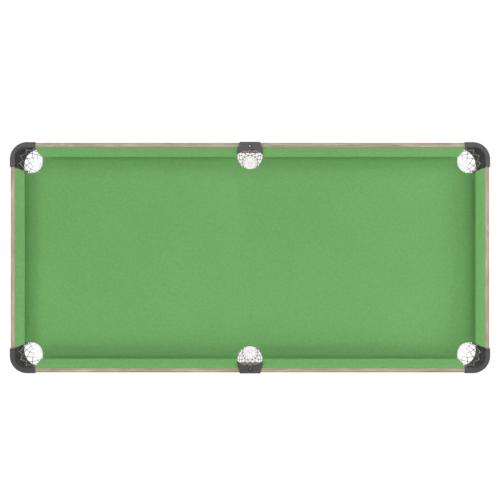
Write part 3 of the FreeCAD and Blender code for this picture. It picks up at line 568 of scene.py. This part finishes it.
def inset_loop(loop, distance):
    """Moves a closed counter-clockwise 2D loop inwards along its vertex normals."""
    tangent = np.roll(loop, -1, 0) - np.roll(loop, 1, 0)
    tangent /= np.linalg.norm(tangent, axis=1)[:, None] + 1e-12
    return loop + np.stack([-tangent[:, 1], tangent[:, 0]], 1) * distance


def smooth_noise(seed, count, size, knots):
    """Low-frequency random curve of count samples between -size and size."""
    values = np.random.RandomState(seed).uniform(-1, 1, knots + 3)
    x = np.linspace(0, knots, count)
    i = np.clip(x.astype(int), 0, knots)
    f = x - i
    f = f * f * (3 - 2 * f)
    return size * (values[i] * (1 - f) + values[i + 1] * f)


# ============================================================ cushions under their cloth
# Section of a cushion: depth from the board, height above the bed, corner radius
CUSHION_SECTION = [
    (0.35, 0.25, 1.0), (23.0, 0.25, 1.6), (37.3, 26.2, 3.0), (39.0, 30.0, 1.6),
    (38.6, 33.4, 1.8), (36.8, 36.3, 1.8), (17.0, 37.9, 30.0), (0.35, 37.9, 1.6)]
CUSHION_DEPTH = 39.0
END_CUSHION_DEPTH = 38.0
CUSHION_ROUND = 2.0                     # rounding of the cushion ends
ROUND_STEPS = 6
ROW_PITCH = 9.0                         # spacing of the rows along a cushion

# Ends of the cushions: depth from the board, distance along the rail from its middle
SIDE_END = [(0, 46.2), (12, 48.0), (24, 50.0), (33, 51.7), (36.5, 52.6), (39, 54.2)]
CORNER_END = [
    (0, 860.8), (4, 860.6), (6, 860.0), (8.6, 858.7), (13, 856.0), (17, 853.0), (22, 850.0),
    (26, 847.6), (30, 844.4), (33, 841.7), (36, 838.2), (39, 834.0)]
END_END = [
    (0, 359.3), (5, 358.4), (10, 357.2), (16, 355.4), (21, 353.4), (26, 351.2), (30, 348.7),
    (33, 346.2), (35.5, 343.1), (38, 338.6)]


def end_at(table, depth):
    depths, distances = zip(*table)
    return float(np.interp(depth, depths, distances))


def cushion(name, ends, place, mat, depth_scale, seed):
    """A cloth-covered cushion. ends(depth) gives where it starts and stops along the rail, and
    place(depth, along, height) puts a point on the table."""
    section = round_corners(CUSHION_SECTION)
    section[:, 0] *= depth_scale
    first, last = ends(20.0)
    spans = int((last - first) / ROW_PITCH)
    # rows across the cushion: part, place in the part, inset of the section
    turns = [math.pi / 2 * k / ROUND_STEPS for k in range(ROUND_STEPS + 1)]
    rounding = [(CUSHION_ROUND * (1 - math.cos(a)), CUSHION_ROUND * (1 - math.sin(a)))
                for a in turns]
    rows = [("start", t, inset) for t, inset in rounding]
    rows += [("middle", k / spans, 0.0) for k in range(1, spans)]
    rows += [("stop", t, inset) for t, inset in reversed(rounding)]
    # slight waviness of the cloth on the top and along the nose
    top_wave = smooth_noise(seed, len(rows), size=0.16, knots=22)
    nose_wave = smooth_noise(seed + 1, len(rows), size=0.14, knots=30)
    verts = []
    for i, (part, t, inset) in enumerate(rows):
        for depth, height in inset_loop(section, inset):
            start, stop = ends(max(0.0, min(CUSHION_DEPTH * depth_scale, depth)))
            if part == "start":
                along = start + t
            elif part == "stop":
                along = stop - t
            else:
                along = (start + CUSHION_ROUND) * (1 - t) + (stop - CUSHION_ROUND) * t
            top = max(0.0, (height - 30.0) / 8.0)
            nose = max(0.0, (depth - 30.0 * depth_scale) / 9.0)
            near_board = 1 if depth > 6 else 0.2
            verts.append(place(depth + (nose_wave[i] - 0.15) * nose, along,
                               height + (top_wave[i] - 0.1) * top * near_board * 0.8))
    make("cushion_cloth_" + name, verts, loft_faces(len(rows), len(section)), mat,
         sharp=50.0, replaced="cushion_cover_" + name)


def long_cushion(side, half, sx, sy):
    cushion(side + "_" + half, lambda d: (end_at(SIDE_END, d), end_at(CORNER_END, d)),
            lambda depth, along, height: (sx * along, sy * (Y_IN - depth), Z_BED + height),
            "cushion_x", depth_scale=1.0, seed=11 + 3 * sx + 7 * sy)


def end_cushion(half, sx):
    cushion(half + "_end", lambda d: (-end_at(END_END, d), end_at(END_END, d)),
            lambda depth, along, height: (sx * (X_IN - depth), along, Z_BED + height),
            "cushion_y", depth_scale=END_CUSHION_DEPTH / CUSHION_DEPTH, seed=41 + 5 * sx)


ENDS = (("right", 1), ("left", -1))
SIDES = (("back", 1), ("front", -1))
for side_name, side_sign in SIDES:
    for half_name, half_sign in ENDS:
        long_cushion(side_name, half_name, half_sign, side_sign)
for half_name, half_sign in ENDS:
    end_cushion(half_name, half_sign)


# ============================================================ bed cloth
# Pocket cut-outs of the bed: centre x, centre y, radius
CORNER_CUT = (889.4, 391.0, 47.0)
SIDE_CUT = (0.0, 411.0, 51.0)
CUT_STEPS = 22
# Rings of the sheet, from its top over the edge and back inside: inset, z
BED_RINGS = [
    (1.8, Z_BED), (1.35, Z_BED - 0.08), (0.72, Z_BED - 0.38), (0.24, Z_BED - 0.95),
    (0.0, Z_BED - 1.8), (0.05, Z_BED - 6.0), (0.1, Z_BED - 12.0), (0.0, Z_UNDER + 1.2),
    (0.85, Z_UNDER + 1.2), (0.85, Z_BED - 1.6), (1.9, Z_BED - 0.9)]


def cut_arc(cut, start):
    """A clockwise quarter circle from the start angle, in degrees."""
    x, y, radius = cut
    angles = [math.radians(start - 90 * k / CUT_STEPS) for k in range(CUT_STEPS + 1)]
    return [(x + radius * math.cos(a), y + radius * math.sin(a)) for a in angles]


def bed_outline():
    """The edge of the bed, counter-clockwise from the right, built from its back right quarter."""
    corner_x, corner_y, corner_r = CORNER_CUT
    quarter = [(BED_X, corner_y - corner_r)] + cut_arc(CORNER_CUT, -90)
    quarter += [(corner_x - corner_r, BED_Y), (SIDE_CUT[2], BED_Y)] + cut_arc(SIDE_CUT, 0)
    back = quarter + [(-x, y) for x, y in reversed(quarter[:-1])]
    return np.array(back + [(-x, -y) for x, y in back])


def bed_cloth():
    """The cloth sheet, wrapped down into each pocket."""
    outline = bed_outline()
    verts = [(x, y, z) for inset, z in BED_RINGS for x, y in inset_loop(outline, inset)]
    make("bed_cloth_sheet", verts, loft_faces(len(BED_RINGS), len(outline)), "bed",
         sharp=60.0, replaced="bed_cloth")


bed_cloth()

# ============================================================ nets
WIRE_LOOP_R = 2.28                      # cord centre of a loop round the hoop wire
STRAND_START = 2.9                      # drop from the wire centre to the strands
STRAND_STEP = 2.3                       # spacing of the rings along long cords
KNOT_R = 1.25
RIM_R = 6.3                             # where the last strands reach the gathering ring
RING_R = 6.4


def turn_of(centre, first, second, count):
    """A closed turn round centre, spanned by two vectors."""
    return [centre + first * math.cos(a) + second * math.sin(a)
            for a in np.linspace(0, TAU, count + 1)[:-1]]


class Cords:
    """Collects round cords as tubes in one mesh."""

    def __init__(self):
        self.verts, self.faces, self.uvs = [], [], []

    def tube(self, points, radius, sides, step, closed=False, twist=True):
        """radius is one number or one for each point."""
        points = np.asarray(points, float)
        if closed:
            points = np.vstack([points, points[:1]])
        arc = arc_lengths(points)
        at = np.linspace(0, arc[-1], max(3, int(arc[-1] / step) + 1))
        centres = np.stack([np.interp(at, arc, points[:, i]) for i in range(3)], 1)
        radii = np.interp(at, arc, np.broadcast_to(radius, arc.shape))
        if closed:
            centres, at = centres[:-1], at[:-1]
            tangents = np.roll(centres, -1, 0) - np.roll(centres, 1, 0)
        else:
            tangents = np.gradient(centres, axis=0)
        tangents /= np.linalg.norm(tangents, axis=1)[:, None] + 1e-12
        u = np.cross(tangents[0], np.array([0.31, 0.17, 0.93]))
        if np.linalg.norm(u) < 0.2:
            u = np.cross(tangents[0], np.array([1.0, 0.0, 0.0]))
        start, count = len(self.verts), len(at)
        angles = np.arange(sides) / sides * TAU
        bulge = 0.10 if twist else 0.0
        for i in range(count):
            # carry the frame along the cord so that it doesn't flip
            u = unit(u - tangents[i] * (u @ tangents[i]))
            w = np.cross(tangents[i], u)
            phase = at[i] / 3.5 * TAU * 0.5
            r = radii[i] * (1.0 + bulge * np.cos(2 * (angles - phase)))
            ring = centres[i] + (np.cos(angles) * r)[:, None] * u
            ring = ring + (np.sin(angles) * r)[:, None] * w
            self.verts += ring.tolist()
            self.uvs += [(at[i] * MM, angle / TAU) for angle in angles]
        self.faces += side_faces(count, sides, start, closed)
        if not closed:
            self.faces += end_caps(count, sides, start)

    def knot(self, centre, outward):
        """A small knot: two crossed rounded turns of cord."""
        out = unit(outward)
        across = unit(np.cross(out, UP))
        up = np.cross(across, out)
        for tilt in (0.6, -0.6):
            lean = across * math.cos(tilt) + up * math.sin(tilt)
            turn = turn_of(centre, lean * (KNOT_R * 0.95), out * (KNOT_R * 0.62), 10)
            self.tube(turn, radius=0.50, sides=6, step=1.0, closed=True, twist=False)


def knot_grid(tips, centre, foot, rows, seed):
    """The knots of each row, a little out of place."""
    random = np.random.RandomState(seed)
    count = len(tips)
    offsets = tips[:, :2] - centre
    tip_angles = np.unwrap(np.arctan2(offsets[:, 1], offsets[:, 0]))
    hoop_radius = np.linalg.norm(offsets, axis=1).max()
    tip_z = tips[0][2]
    grid = []
    for row_number, (z, radius, roundness) in enumerate(rows):
        fall = max(0.0, min(1.0, (tip_z - z) / (tip_z - Z_NET)))
        middle = centre * (1 - fall) + foot * fall
        row = []
        for k in range(count):
            after = (k + 1) % count
            if row_number % 2 == 0:
                a0, a1 = tip_angles[k], tip_angles[after]
                a1 -= TAU * round((a1 - a0) / TAU)
                base, angle = (tips[k] + tips[after]) / 2, (a0 + a1) / 2
            else:
                base, angle = tips[after], tip_angles[after]
            hoop_shaped = (base[:2] - centre) * (radius / hoop_radius)
            circle = np.array([math.cos(angle), math.sin(angle)]) * radius
            xy = middle + hoop_shaped * (1 - roundness) + circle * roundness
            xy = xy + random.normal(0, 0.55, 2)
            row.append(np.array([xy[0], xy[1], z + random.normal(0, 0.9)]))
        grid.append(row)
    return grid


def hang_loops(cords, tips, tangents):
    """Three loops of cord round the hoop wire at each tip."""
    for tip, tangent in zip(tips, tangents):
        along = np.array(tangent, float)
        out = np.cross(along, UP)
        for shift, radius in ((0.0, 0.62), (-1.0, 0.55), (1.0, 0.55)):
            loop = turn_of(tip + along * shift, out * WIRE_LOOP_R, UP * WIRE_LOOP_R, 14)
            cords.tube(loop, radius=radius, sides=6, step=1.2, closed=True, twist=False)


def strands(cords, tips, grid, foot):
    """Two strands from each tip, one leaning each way, with a thin strand on to the ring."""
    count = len(tips)
    for lean, way in ((0, 1), (1, -1)):
        for k in range(count):
            path = [tips[k] - UP * STRAND_START]
            index = (k - lean) % count
            for row_number, row in enumerate(grid):
                here, before = row[index], path[-1]
                middle = (before + here) / 2
                out = middle[:2] - foot
                out = np.append(out / (np.linalg.norm(out) + 1e-9), 0.0)
                sag = -0.8 * out - 0.6 * UP
                path += bezier(before, middle + sag, here + out * (0.36 * way), 6)[1:]
                # a strand steps on to the neighbouring knot at every second row
                if row_number % 2 != lean:
                    index = (index + way) % count
            # the cord is stretched thinner towards the bottom
            radii = np.interp(np.arange(len(path)), (0, 5, 10, 15, 20),
                              (1.25, 1.25, 1.20, 0.95, 0.60))
            cords.tube(path, radius=radii, sides=7, step=STRAND_STEP)
            if lean == 0:
                last = path[-1]
                angle = math.atan2(last[1] - foot[1], last[0] - foot[0]) + 0.09
                rim = np.array([foot[0] + RIM_R * math.cos(angle),
                                foot[1] + RIM_R * math.sin(angle), Z_NET + 1.9])
                middle = (last + rim) / 2 - UP * 3.4
                cords.tube(bezier(last, middle, rim, 9), radius=0.50, sides=6, step=STRAND_STEP)


def belt_cord(cords, knots, foot):
    """A level cord through one row of knots."""
    loop = []
    for k, knot in enumerate(knots):
        after = knots[(k + 1) % len(knots)]
        middle = (knot + after) / 2
        out = np.append(middle[:2] - foot, 0.0)
        loop += bezier(knot, middle - out * 0.012 - UP * 0.4, after, 5)[:-1]
    cords.tube(loop, radius=1.15, sides=7, step=STRAND_STEP, closed=True)


def gathering_ring(cords, foot):
    """The slightly five-lobed ring at the bottom."""
    ring = []
    for angle in np.linspace(0, TAU, 29)[:-1]:
        radius = RING_R + 0.2 * math.sin(5 * angle)
        ring.append((foot[0] + radius * math.cos(angle), foot[1] + radius * math.sin(angle),
                     Z_NET + 1.4))
    cords.tube(ring, radius=0.5, sides=7, step=1.4, closed=True)


def pocket_net(place, seed, mirror, tips, tangents, centre, foot, rows, belt=None):
    """A net, built for the back or back right pocket and mirrored into place. tips are where it
    hangs from the hoop; belt is the row of knots that a level cord runs through."""
    tips, centre, foot = (np.array(points, float) for points in (tips, centre, foot))
    grid = knot_grid(tips, centre, foot, rows, seed)
    cords = Cords()
    hang_loops(cords, tips, tangents)
    strands(cords, tips, grid, foot)
    if belt is not None:
        belt_cord(cords, grid[belt], foot)
    for row in grid:
        for knot in row:
            cords.knot(knot, np.append(knot[:2] - foot, 0.0))
    gathering_ring(cords, foot)
    verts = np.array(cords.verts) * np.array([mirror[0], mirror[1], 1])
    make("pocket_cord_net_" + place, verts, cords.faces, "cord", sharp=80.0,
         uvs=cords.uvs, replaced="pocket_net_" + place)


# ------------------------------------------------------------ corner nets
CORNER_HOOP = (893.0, 394.5)
CORNER_HOOP_R = 53.5
CORNER_TIPS = 10
FIRST_TIP = 26.7                        # degrees
# Rows of knots: z, radius, roundness (0 the shape of the hoop, 1 a circle)
CORNER_ROWS = [(699.0, 51.3, 1.0), (669.5, 47.5, 1.0), (643.5, 41.5, 1.0), (624.5, 33.5, 1.0)]


def corner_net_shape():
    x, y = CORNER_HOOP
    angles = [math.radians(FIRST_TIP + 360 / CORNER_TIPS * k) for k in range(CORNER_TIPS)]
    return {
        "tips": [(x + CORNER_HOOP_R * math.cos(a), y + CORNER_HOOP_R * math.sin(a), Z_HOOP)
                 for a in angles],
        "tangents": [(-math.sin(a), math.cos(a), 0) for a in angles],
        "centre": CORNER_HOOP, "foot": CORNER_HOOP, "rows": CORNER_ROWS}


CORNERS = (("back_right", (1, 1)), ("back_left", (-1, 1)),
           ("front_right", (1, -1)), ("front_left", (-1, -1)))
for i, (place_name, signs) in enumerate(CORNERS):
    pocket_net(place_name, 100 + i, signs, **corner_net_shape())

# ------------------------------------------------------------ side nets
SIDE_HOOP_Y = 407.0                     # centre of the round part of the D
SIDE_HOOP_R = 54.0
SIDE_HOOP_BACK = 440.8                  # y of the straight back of the D
SIDE_HOOP_FILLET = 11.0
SIDE_TIPS = 14
SIDE_ROWS = [(702.0, 51.0, 0.12), (677.0, 44.0, 0.50), (651.0, 33.5, 0.9), (626.0, 22.0, 1.0)]


def side_hoop_path():
    """The closed D of a side hoop, clockwise from the middle of its straight back."""
    fillet_y = SIDE_HOOP_BACK - SIDE_HOOP_FILLET
    fillet_x = math.sqrt((SIDE_HOOP_R - SIDE_HOOP_FILLET) ** 2 - (fillet_y - SIDE_HOOP_Y) ** 2)
    joint = math.atan2(fillet_y - SIDE_HOOP_Y, fillet_x)
    half = [(x, SIDE_HOOP_BACK) for x in np.linspace(0, fillet_x, 30)]
    for a in np.linspace(math.pi / 2, joint, 16)[1:]:
        half.append((fillet_x + SIDE_HOOP_FILLET * math.cos(a),
                     fillet_y + SIDE_HOOP_FILLET * math.sin(a)))
    for a in np.linspace(joint, -math.pi / 2, 90)[1:]:
        half.append((SIDE_HOOP_R * math.cos(a), SIDE_HOOP_Y + SIDE_HOOP_R * math.sin(a)))
    path = np.array(half + [(-x, y) for x, y in reversed(half[1:-1])])
    return np.vstack([path, path[:1]])


def side_net_shape():
    path = side_hoop_path()
    arc = arc_lengths(path)
    last = len(path) - 1
    tips, tangents = [], []
    for k in range(SIDE_TIPS):
        at = arc[-1] * k / SIDE_TIPS
        i = min(last - 1, int(np.searchsorted(arc, at)))
        tips.append((np.interp(at, arc, path[:, 0]), np.interp(at, arc, path[:, 1]), Z_HOOP))
        step = unit(path[min(i + 1, last)] - path[max(i - 1, 0)])
        tangents.append((step[0], step[1], 0))
    return {"tips": tips, "tangents": tangents, "centre": (0, 404.0), "foot": (0, 400.7),
            "rows": SIDE_ROWS, "belt": 2}


for i, (side_name, side_sign) in enumerate(SIDES):
    pocket_net(side_name + "_side", 200 + i, (1, side_sign), **side_net_shape())

# ============================================================ leg details
LEAN = math.radians(6.0)
PIVOT_X, PIVOT_Z = 760.0, 690.0
LEG_Y = 300.0
UPRIGHT_HALF = 15.0                     # from an upright's middle to its inner face
CROSS_TUBES = ((118.0, 10.0), (520.0, 12.5))    # distance down the leg, half width


def leg_point(down, side, y, across=0.0):
    """A point down a leg from its pivot; across is measured square to the leg, outwards."""
    x = PIVOT_X + down * math.sin(LEAN) + across * math.cos(LEAN)
    z = PIVOT_Z - down * math.cos(LEAN) + across * math.sin(LEAN)
    return np.array([side * x, y, z])


def weld_bead(side, distance, half, y_face, y_way):
    """Rings of a rippled weld round the end of a square cross tube, where it meets the upright."""
    h = half - 0.4
    corners = [(-h, -h), (h, -h), (h, h), (-h, h)]
    path = []
    for (a, b), (c, d) in zip(corners, corners[1:] + corners[:1]):
        for t in np.linspace(0, 1, 26)[:-1]:
            path.append((a + (c - a) * t, b + (d - b) * t))
    path = np.array(path)
    # round the corners of the path a little
    for _ in range(6):
        path = (np.roll(path, 1, 0) + path * 2 + np.roll(path, -1, 0)) / 4
    inward = np.array([0, y_way, 0.0])
    rings = []
    for i, point in enumerate(path):
        out = unit(point)
        ripple = 0.22 * math.sin(i / len(path) * TAU * 26) + 0.12 * math.sin(i * 1.7)
        radius = 1.55 + ripple
        centre = leg_point(distance - point[1], side, y_face, point[0])
        outward = unit(
            leg_point(distance - point[1] - out[1], side, y_face, point[0] + out[0]) - centre)
        rings.append([centre + outward * (radius * math.cos(a) + 0.2)
                      + inward * (radius * math.sin(a) * 0.9) for a in np.arange(8) / 8 * TAU])
    return rings


def weld_beads(name, side):
    verts, faces = [], []
    for distance, half in CROSS_TUBES:
        for sy in (1, -1):
            rings = weld_bead(side, distance, half, sy * (LEG_Y - UPRIGHT_HALF), -sy)
            faces += side_faces(len(rings), 8, len(verts), closed=True)
            verts += [point for ring in rings for point in ring]
    make("weld_beads_" + name, verts, faces, "tube", sharp=80.0,
         body=name + "_leg")


for end_name, end_sign in ENDS:
    weld_beads(end_name, end_sign)

# Levelling screw, heights measured up the leg from the ball's centre
SCREW_SIDES = 24
BALL_Z = 9.0
BALL_R = 6.0
HEX_R = 8.6                             # to the corners of the collar
THREAD_START, THREAD_TOP = 14.0, 53.0
THREAD_PITCH = 1.5
THREAD_ROOT, THREAD_DEPTH = 4.12, 0.82


def screw_rings():
    """Height and radii of every ring of the screw, from the bottom up."""
    turn = np.arange(SCREW_SIDES) / SCREW_SIDES
    rings = [(BALL_R * math.sin(a), BALL_R * math.cos(a))
             for a in np.linspace(-math.pi / 2 + 0.12, math.radians(52), 10)]
    rings += [(6.2, 3.9), (8.3, 4.0)]
    # chamfered hexagonal collar
    sector = math.radians(60)
    collar = HEX_R * math.cos(sector / 2) / np.cos((turn * TAU) % sector - sector / 2)
    chamfer = np.minimum(collar, 8.2) * 0.93
    rings += [(8.5, chamfer), (9.2, collar), (12.8, collar), (13.5, chamfer), (13.6, 4.6)]
    # helical thread, fading out at the top
    for height in np.arange(THREAD_START, THREAD_TOP, THREAD_PITCH / 6):
        phase = (height / THREAD_PITCH - turn) % 1.0
        ridge = 1 - abs(2 * phase - 1)      # 0 at the root, 1 at the crest
        fade = min(1.0, (THREAD_TOP - height) / 1.6 + 0.1)
        crest = np.clip((ridge - 0.1) / 0.78, 0.0, 1.0)
        rings.append((height, THREAD_ROOT + THREAD_DEPTH * crest * fade))
    return rings + [(THREAD_TOP + 0.3, 3.6)]


def levelling_screw(name, side, y):
    """The foot screw with its ball end, collar and thread, in line with the leg."""
    ball_down = (PIVOT_Z - BALL_Z) / math.cos(LEAN)
    centre = leg_point(ball_down, side, y)
    up = unit(leg_point(ball_down - 1.0, side, y) - centre)
    first = np.array([0, 1.0, 0])
    second = np.cross(up, first)
    angles = (np.arange(SCREW_SIDES) / SCREW_SIDES * TAU)[:, None]
    spokes = first * np.cos(angles) + second * np.sin(angles)
    rings = screw_rings()
    verts = np.vstack([
        centre + up * height + spokes * np.broadcast_to(radii, SCREW_SIDES)[:, None]
        for height, radii in rings])
    faces = side_faces(len(rings), SCREW_SIDES) + end_caps(len(rings), SCREW_SIDES)
    make("levelling_screw_" + name, verts, faces, "zinc", sharp=38.0,
         body="foot_stud_%s_body" % name, replaced="foot_stud_" + name)


for end_name, end_sign in ENDS:
    for side_name, side_sign in SIDES:
        levelling_screw(end_name + "_" + side_name, end_sign, side_sign * LEG_Y)

# ============================================================ floor
FLOOR_HALF = 30.0


def floor_material():
    """A white floor that glows to the camera and is clear from underneath."""
    material = bpy.data.materials.new("studio_floor")
    material.use_nodes = True
    floor = Nodes(material.node_tree)
    camera_ray = floor.node("ShaderNodeLightPath").outputs["Is Camera Ray"]
    geometry = floor.node("ShaderNodeNewGeometry")
    diffuse = floor.node("ShaderNodeBsdfDiffuse", {}, {"Color": (0.90, 0.90, 0.895, 1)})
    glow = floor.node("ShaderNodeEmission", {}, {"Color": (1, 1, 1, 1), "Strength": 1.06})
    # less glow at low views, so that the feet keep their soft shadow
    steepness = floor.split(geometry.outputs["Incoming"])[2]
    glow_share = floor.mul(camera_ray, floor.remap(steepness, (0.70, 0.92), (0.76, 0.92)))
    above = floor.node("ShaderNodeMixShader", {},
                       (glow_share, diffuse.outputs[0], glow.outputs[0]))
    # seen from underneath, the floor lets the camera through to the underside of the table
    below = floor.mul(geometry.outputs["Backfacing"], camera_ray)
    clear = floor.node("ShaderNodeBsdfTransparent")
    surface = floor.node("ShaderNodeMixShader", {}, (below, above.outputs[0], clear.outputs[0]))
    floor.node("ShaderNodeOutputMaterial", {}, (surface.outputs[0],))
    return material


def make_floor():
    mesh = bpy.data.meshes.new("studio_floor")
    s = FLOOR_HALF
    mesh.from_pydata([(-s, -s, 0), (s, -s, 0), (s, s, 0), (-s, s, 0)], [], [(0, 1, 2, 3)])
    floor = bpy.data.objects.new("studio_floor", mesh)
    bpy.context.scene.collection.objects.link(floor)
    mesh.materials.append(floor_material())


make_floor()

# ============================================================ world, lights and camera
scene = bpy.context.scene


def make_world():
    """White to the camera, a dimmer white fill for everything else."""
    world = bpy.data.worlds.new("studio_world")
    scene.world = world
    world.use_nodes = True
    nodes = Nodes(world.node_tree)
    camera_ray = nodes.node("ShaderNodeLightPath").outputs["Is Camera Ray"]
    fill, seen = (nodes.node("ShaderNodeBackground", {},
                             {"Color": (1, 1, 1, 1), "Strength": strength}).outputs[0]
                  for strength in (0.335, 1.0))
    mix = nodes.node("ShaderNodeMixShader", {}, (camera_ray, fill, seen))
    nodes.node("ShaderNodeOutputWorld", {}, (mix.outputs[0],))


def softbox(name, location, size, power, target=(0, 0, 0.75)):
    light = bpy.data.lights.new(name, "AREA")
    light.shape = "RECTANGLE"
    light.size, light.size_y = size
    light.energy = power
    box = bpy.data.objects.new(name, light)
    scene.collection.objects.link(box)
    box.location = location
    aim = Vector(target) - Vector(location)
    box.rotation_euler = aim.to_track_quat("-Z", "Y").to_euler()
    box.visible_camera = False
    return box


def make_camera():
    """Straight above the middle of the table, the picture's up along +Y."""
    data = bpy.data.cameras.new("camera")
    data.sensor_width = 36.0
    data.lens = 43.452
    data.shift_y = 0.0153
    data.clip_end = 100.0
    camera = bpy.data.objects.new("camera", data)
    scene.collection.objects.link(camera)
    camera.location = (0, 0, Z_TOP * MM + 2.414)
    scene.camera = camera


make_world()

# wide softboxes all round give the cushions their soft shadows on the bed
softbox("softbox_right_low", location=(4.6, 0.2, 1.8), size=(3.6, 1.5), power=58.0)
softbox("softbox_right", location=(4.6, 0.2, 2.9), size=(3.6, 2.4), power=53.0)
softbox("softbox_right_high", location=(3.4, 0.2, 4.6), size=(3.6, 2.0), power=27.0)
softbox("softbox_front", location=(-0.2, -4.6, 2.8), size=(4.2, 2.8), power=141.0)
softbox("softbox_left", location=(-4.6, 0.0, 3.7), size=(3.6, 2.0), power=87.0)
softbox("softbox_back", location=(0.2, 4.6, 3.5), size=(4.2, 2.0), power=73.0)
# this one only adds reflections
sheen = softbox("softbox_sheen", location=(0, 1.5, 4.5), size=(6.0, 1.6), power=95.0,
                target=(0, 1.5, 0.75))
sheen.visible_diffuse = False

make_camera()
scene.view_settings.view_transform = "Standard"
scene.view_settings.look = "None"
scene.view_settings.exposure = 0.0
scene.view_settings.gamma = 1.0
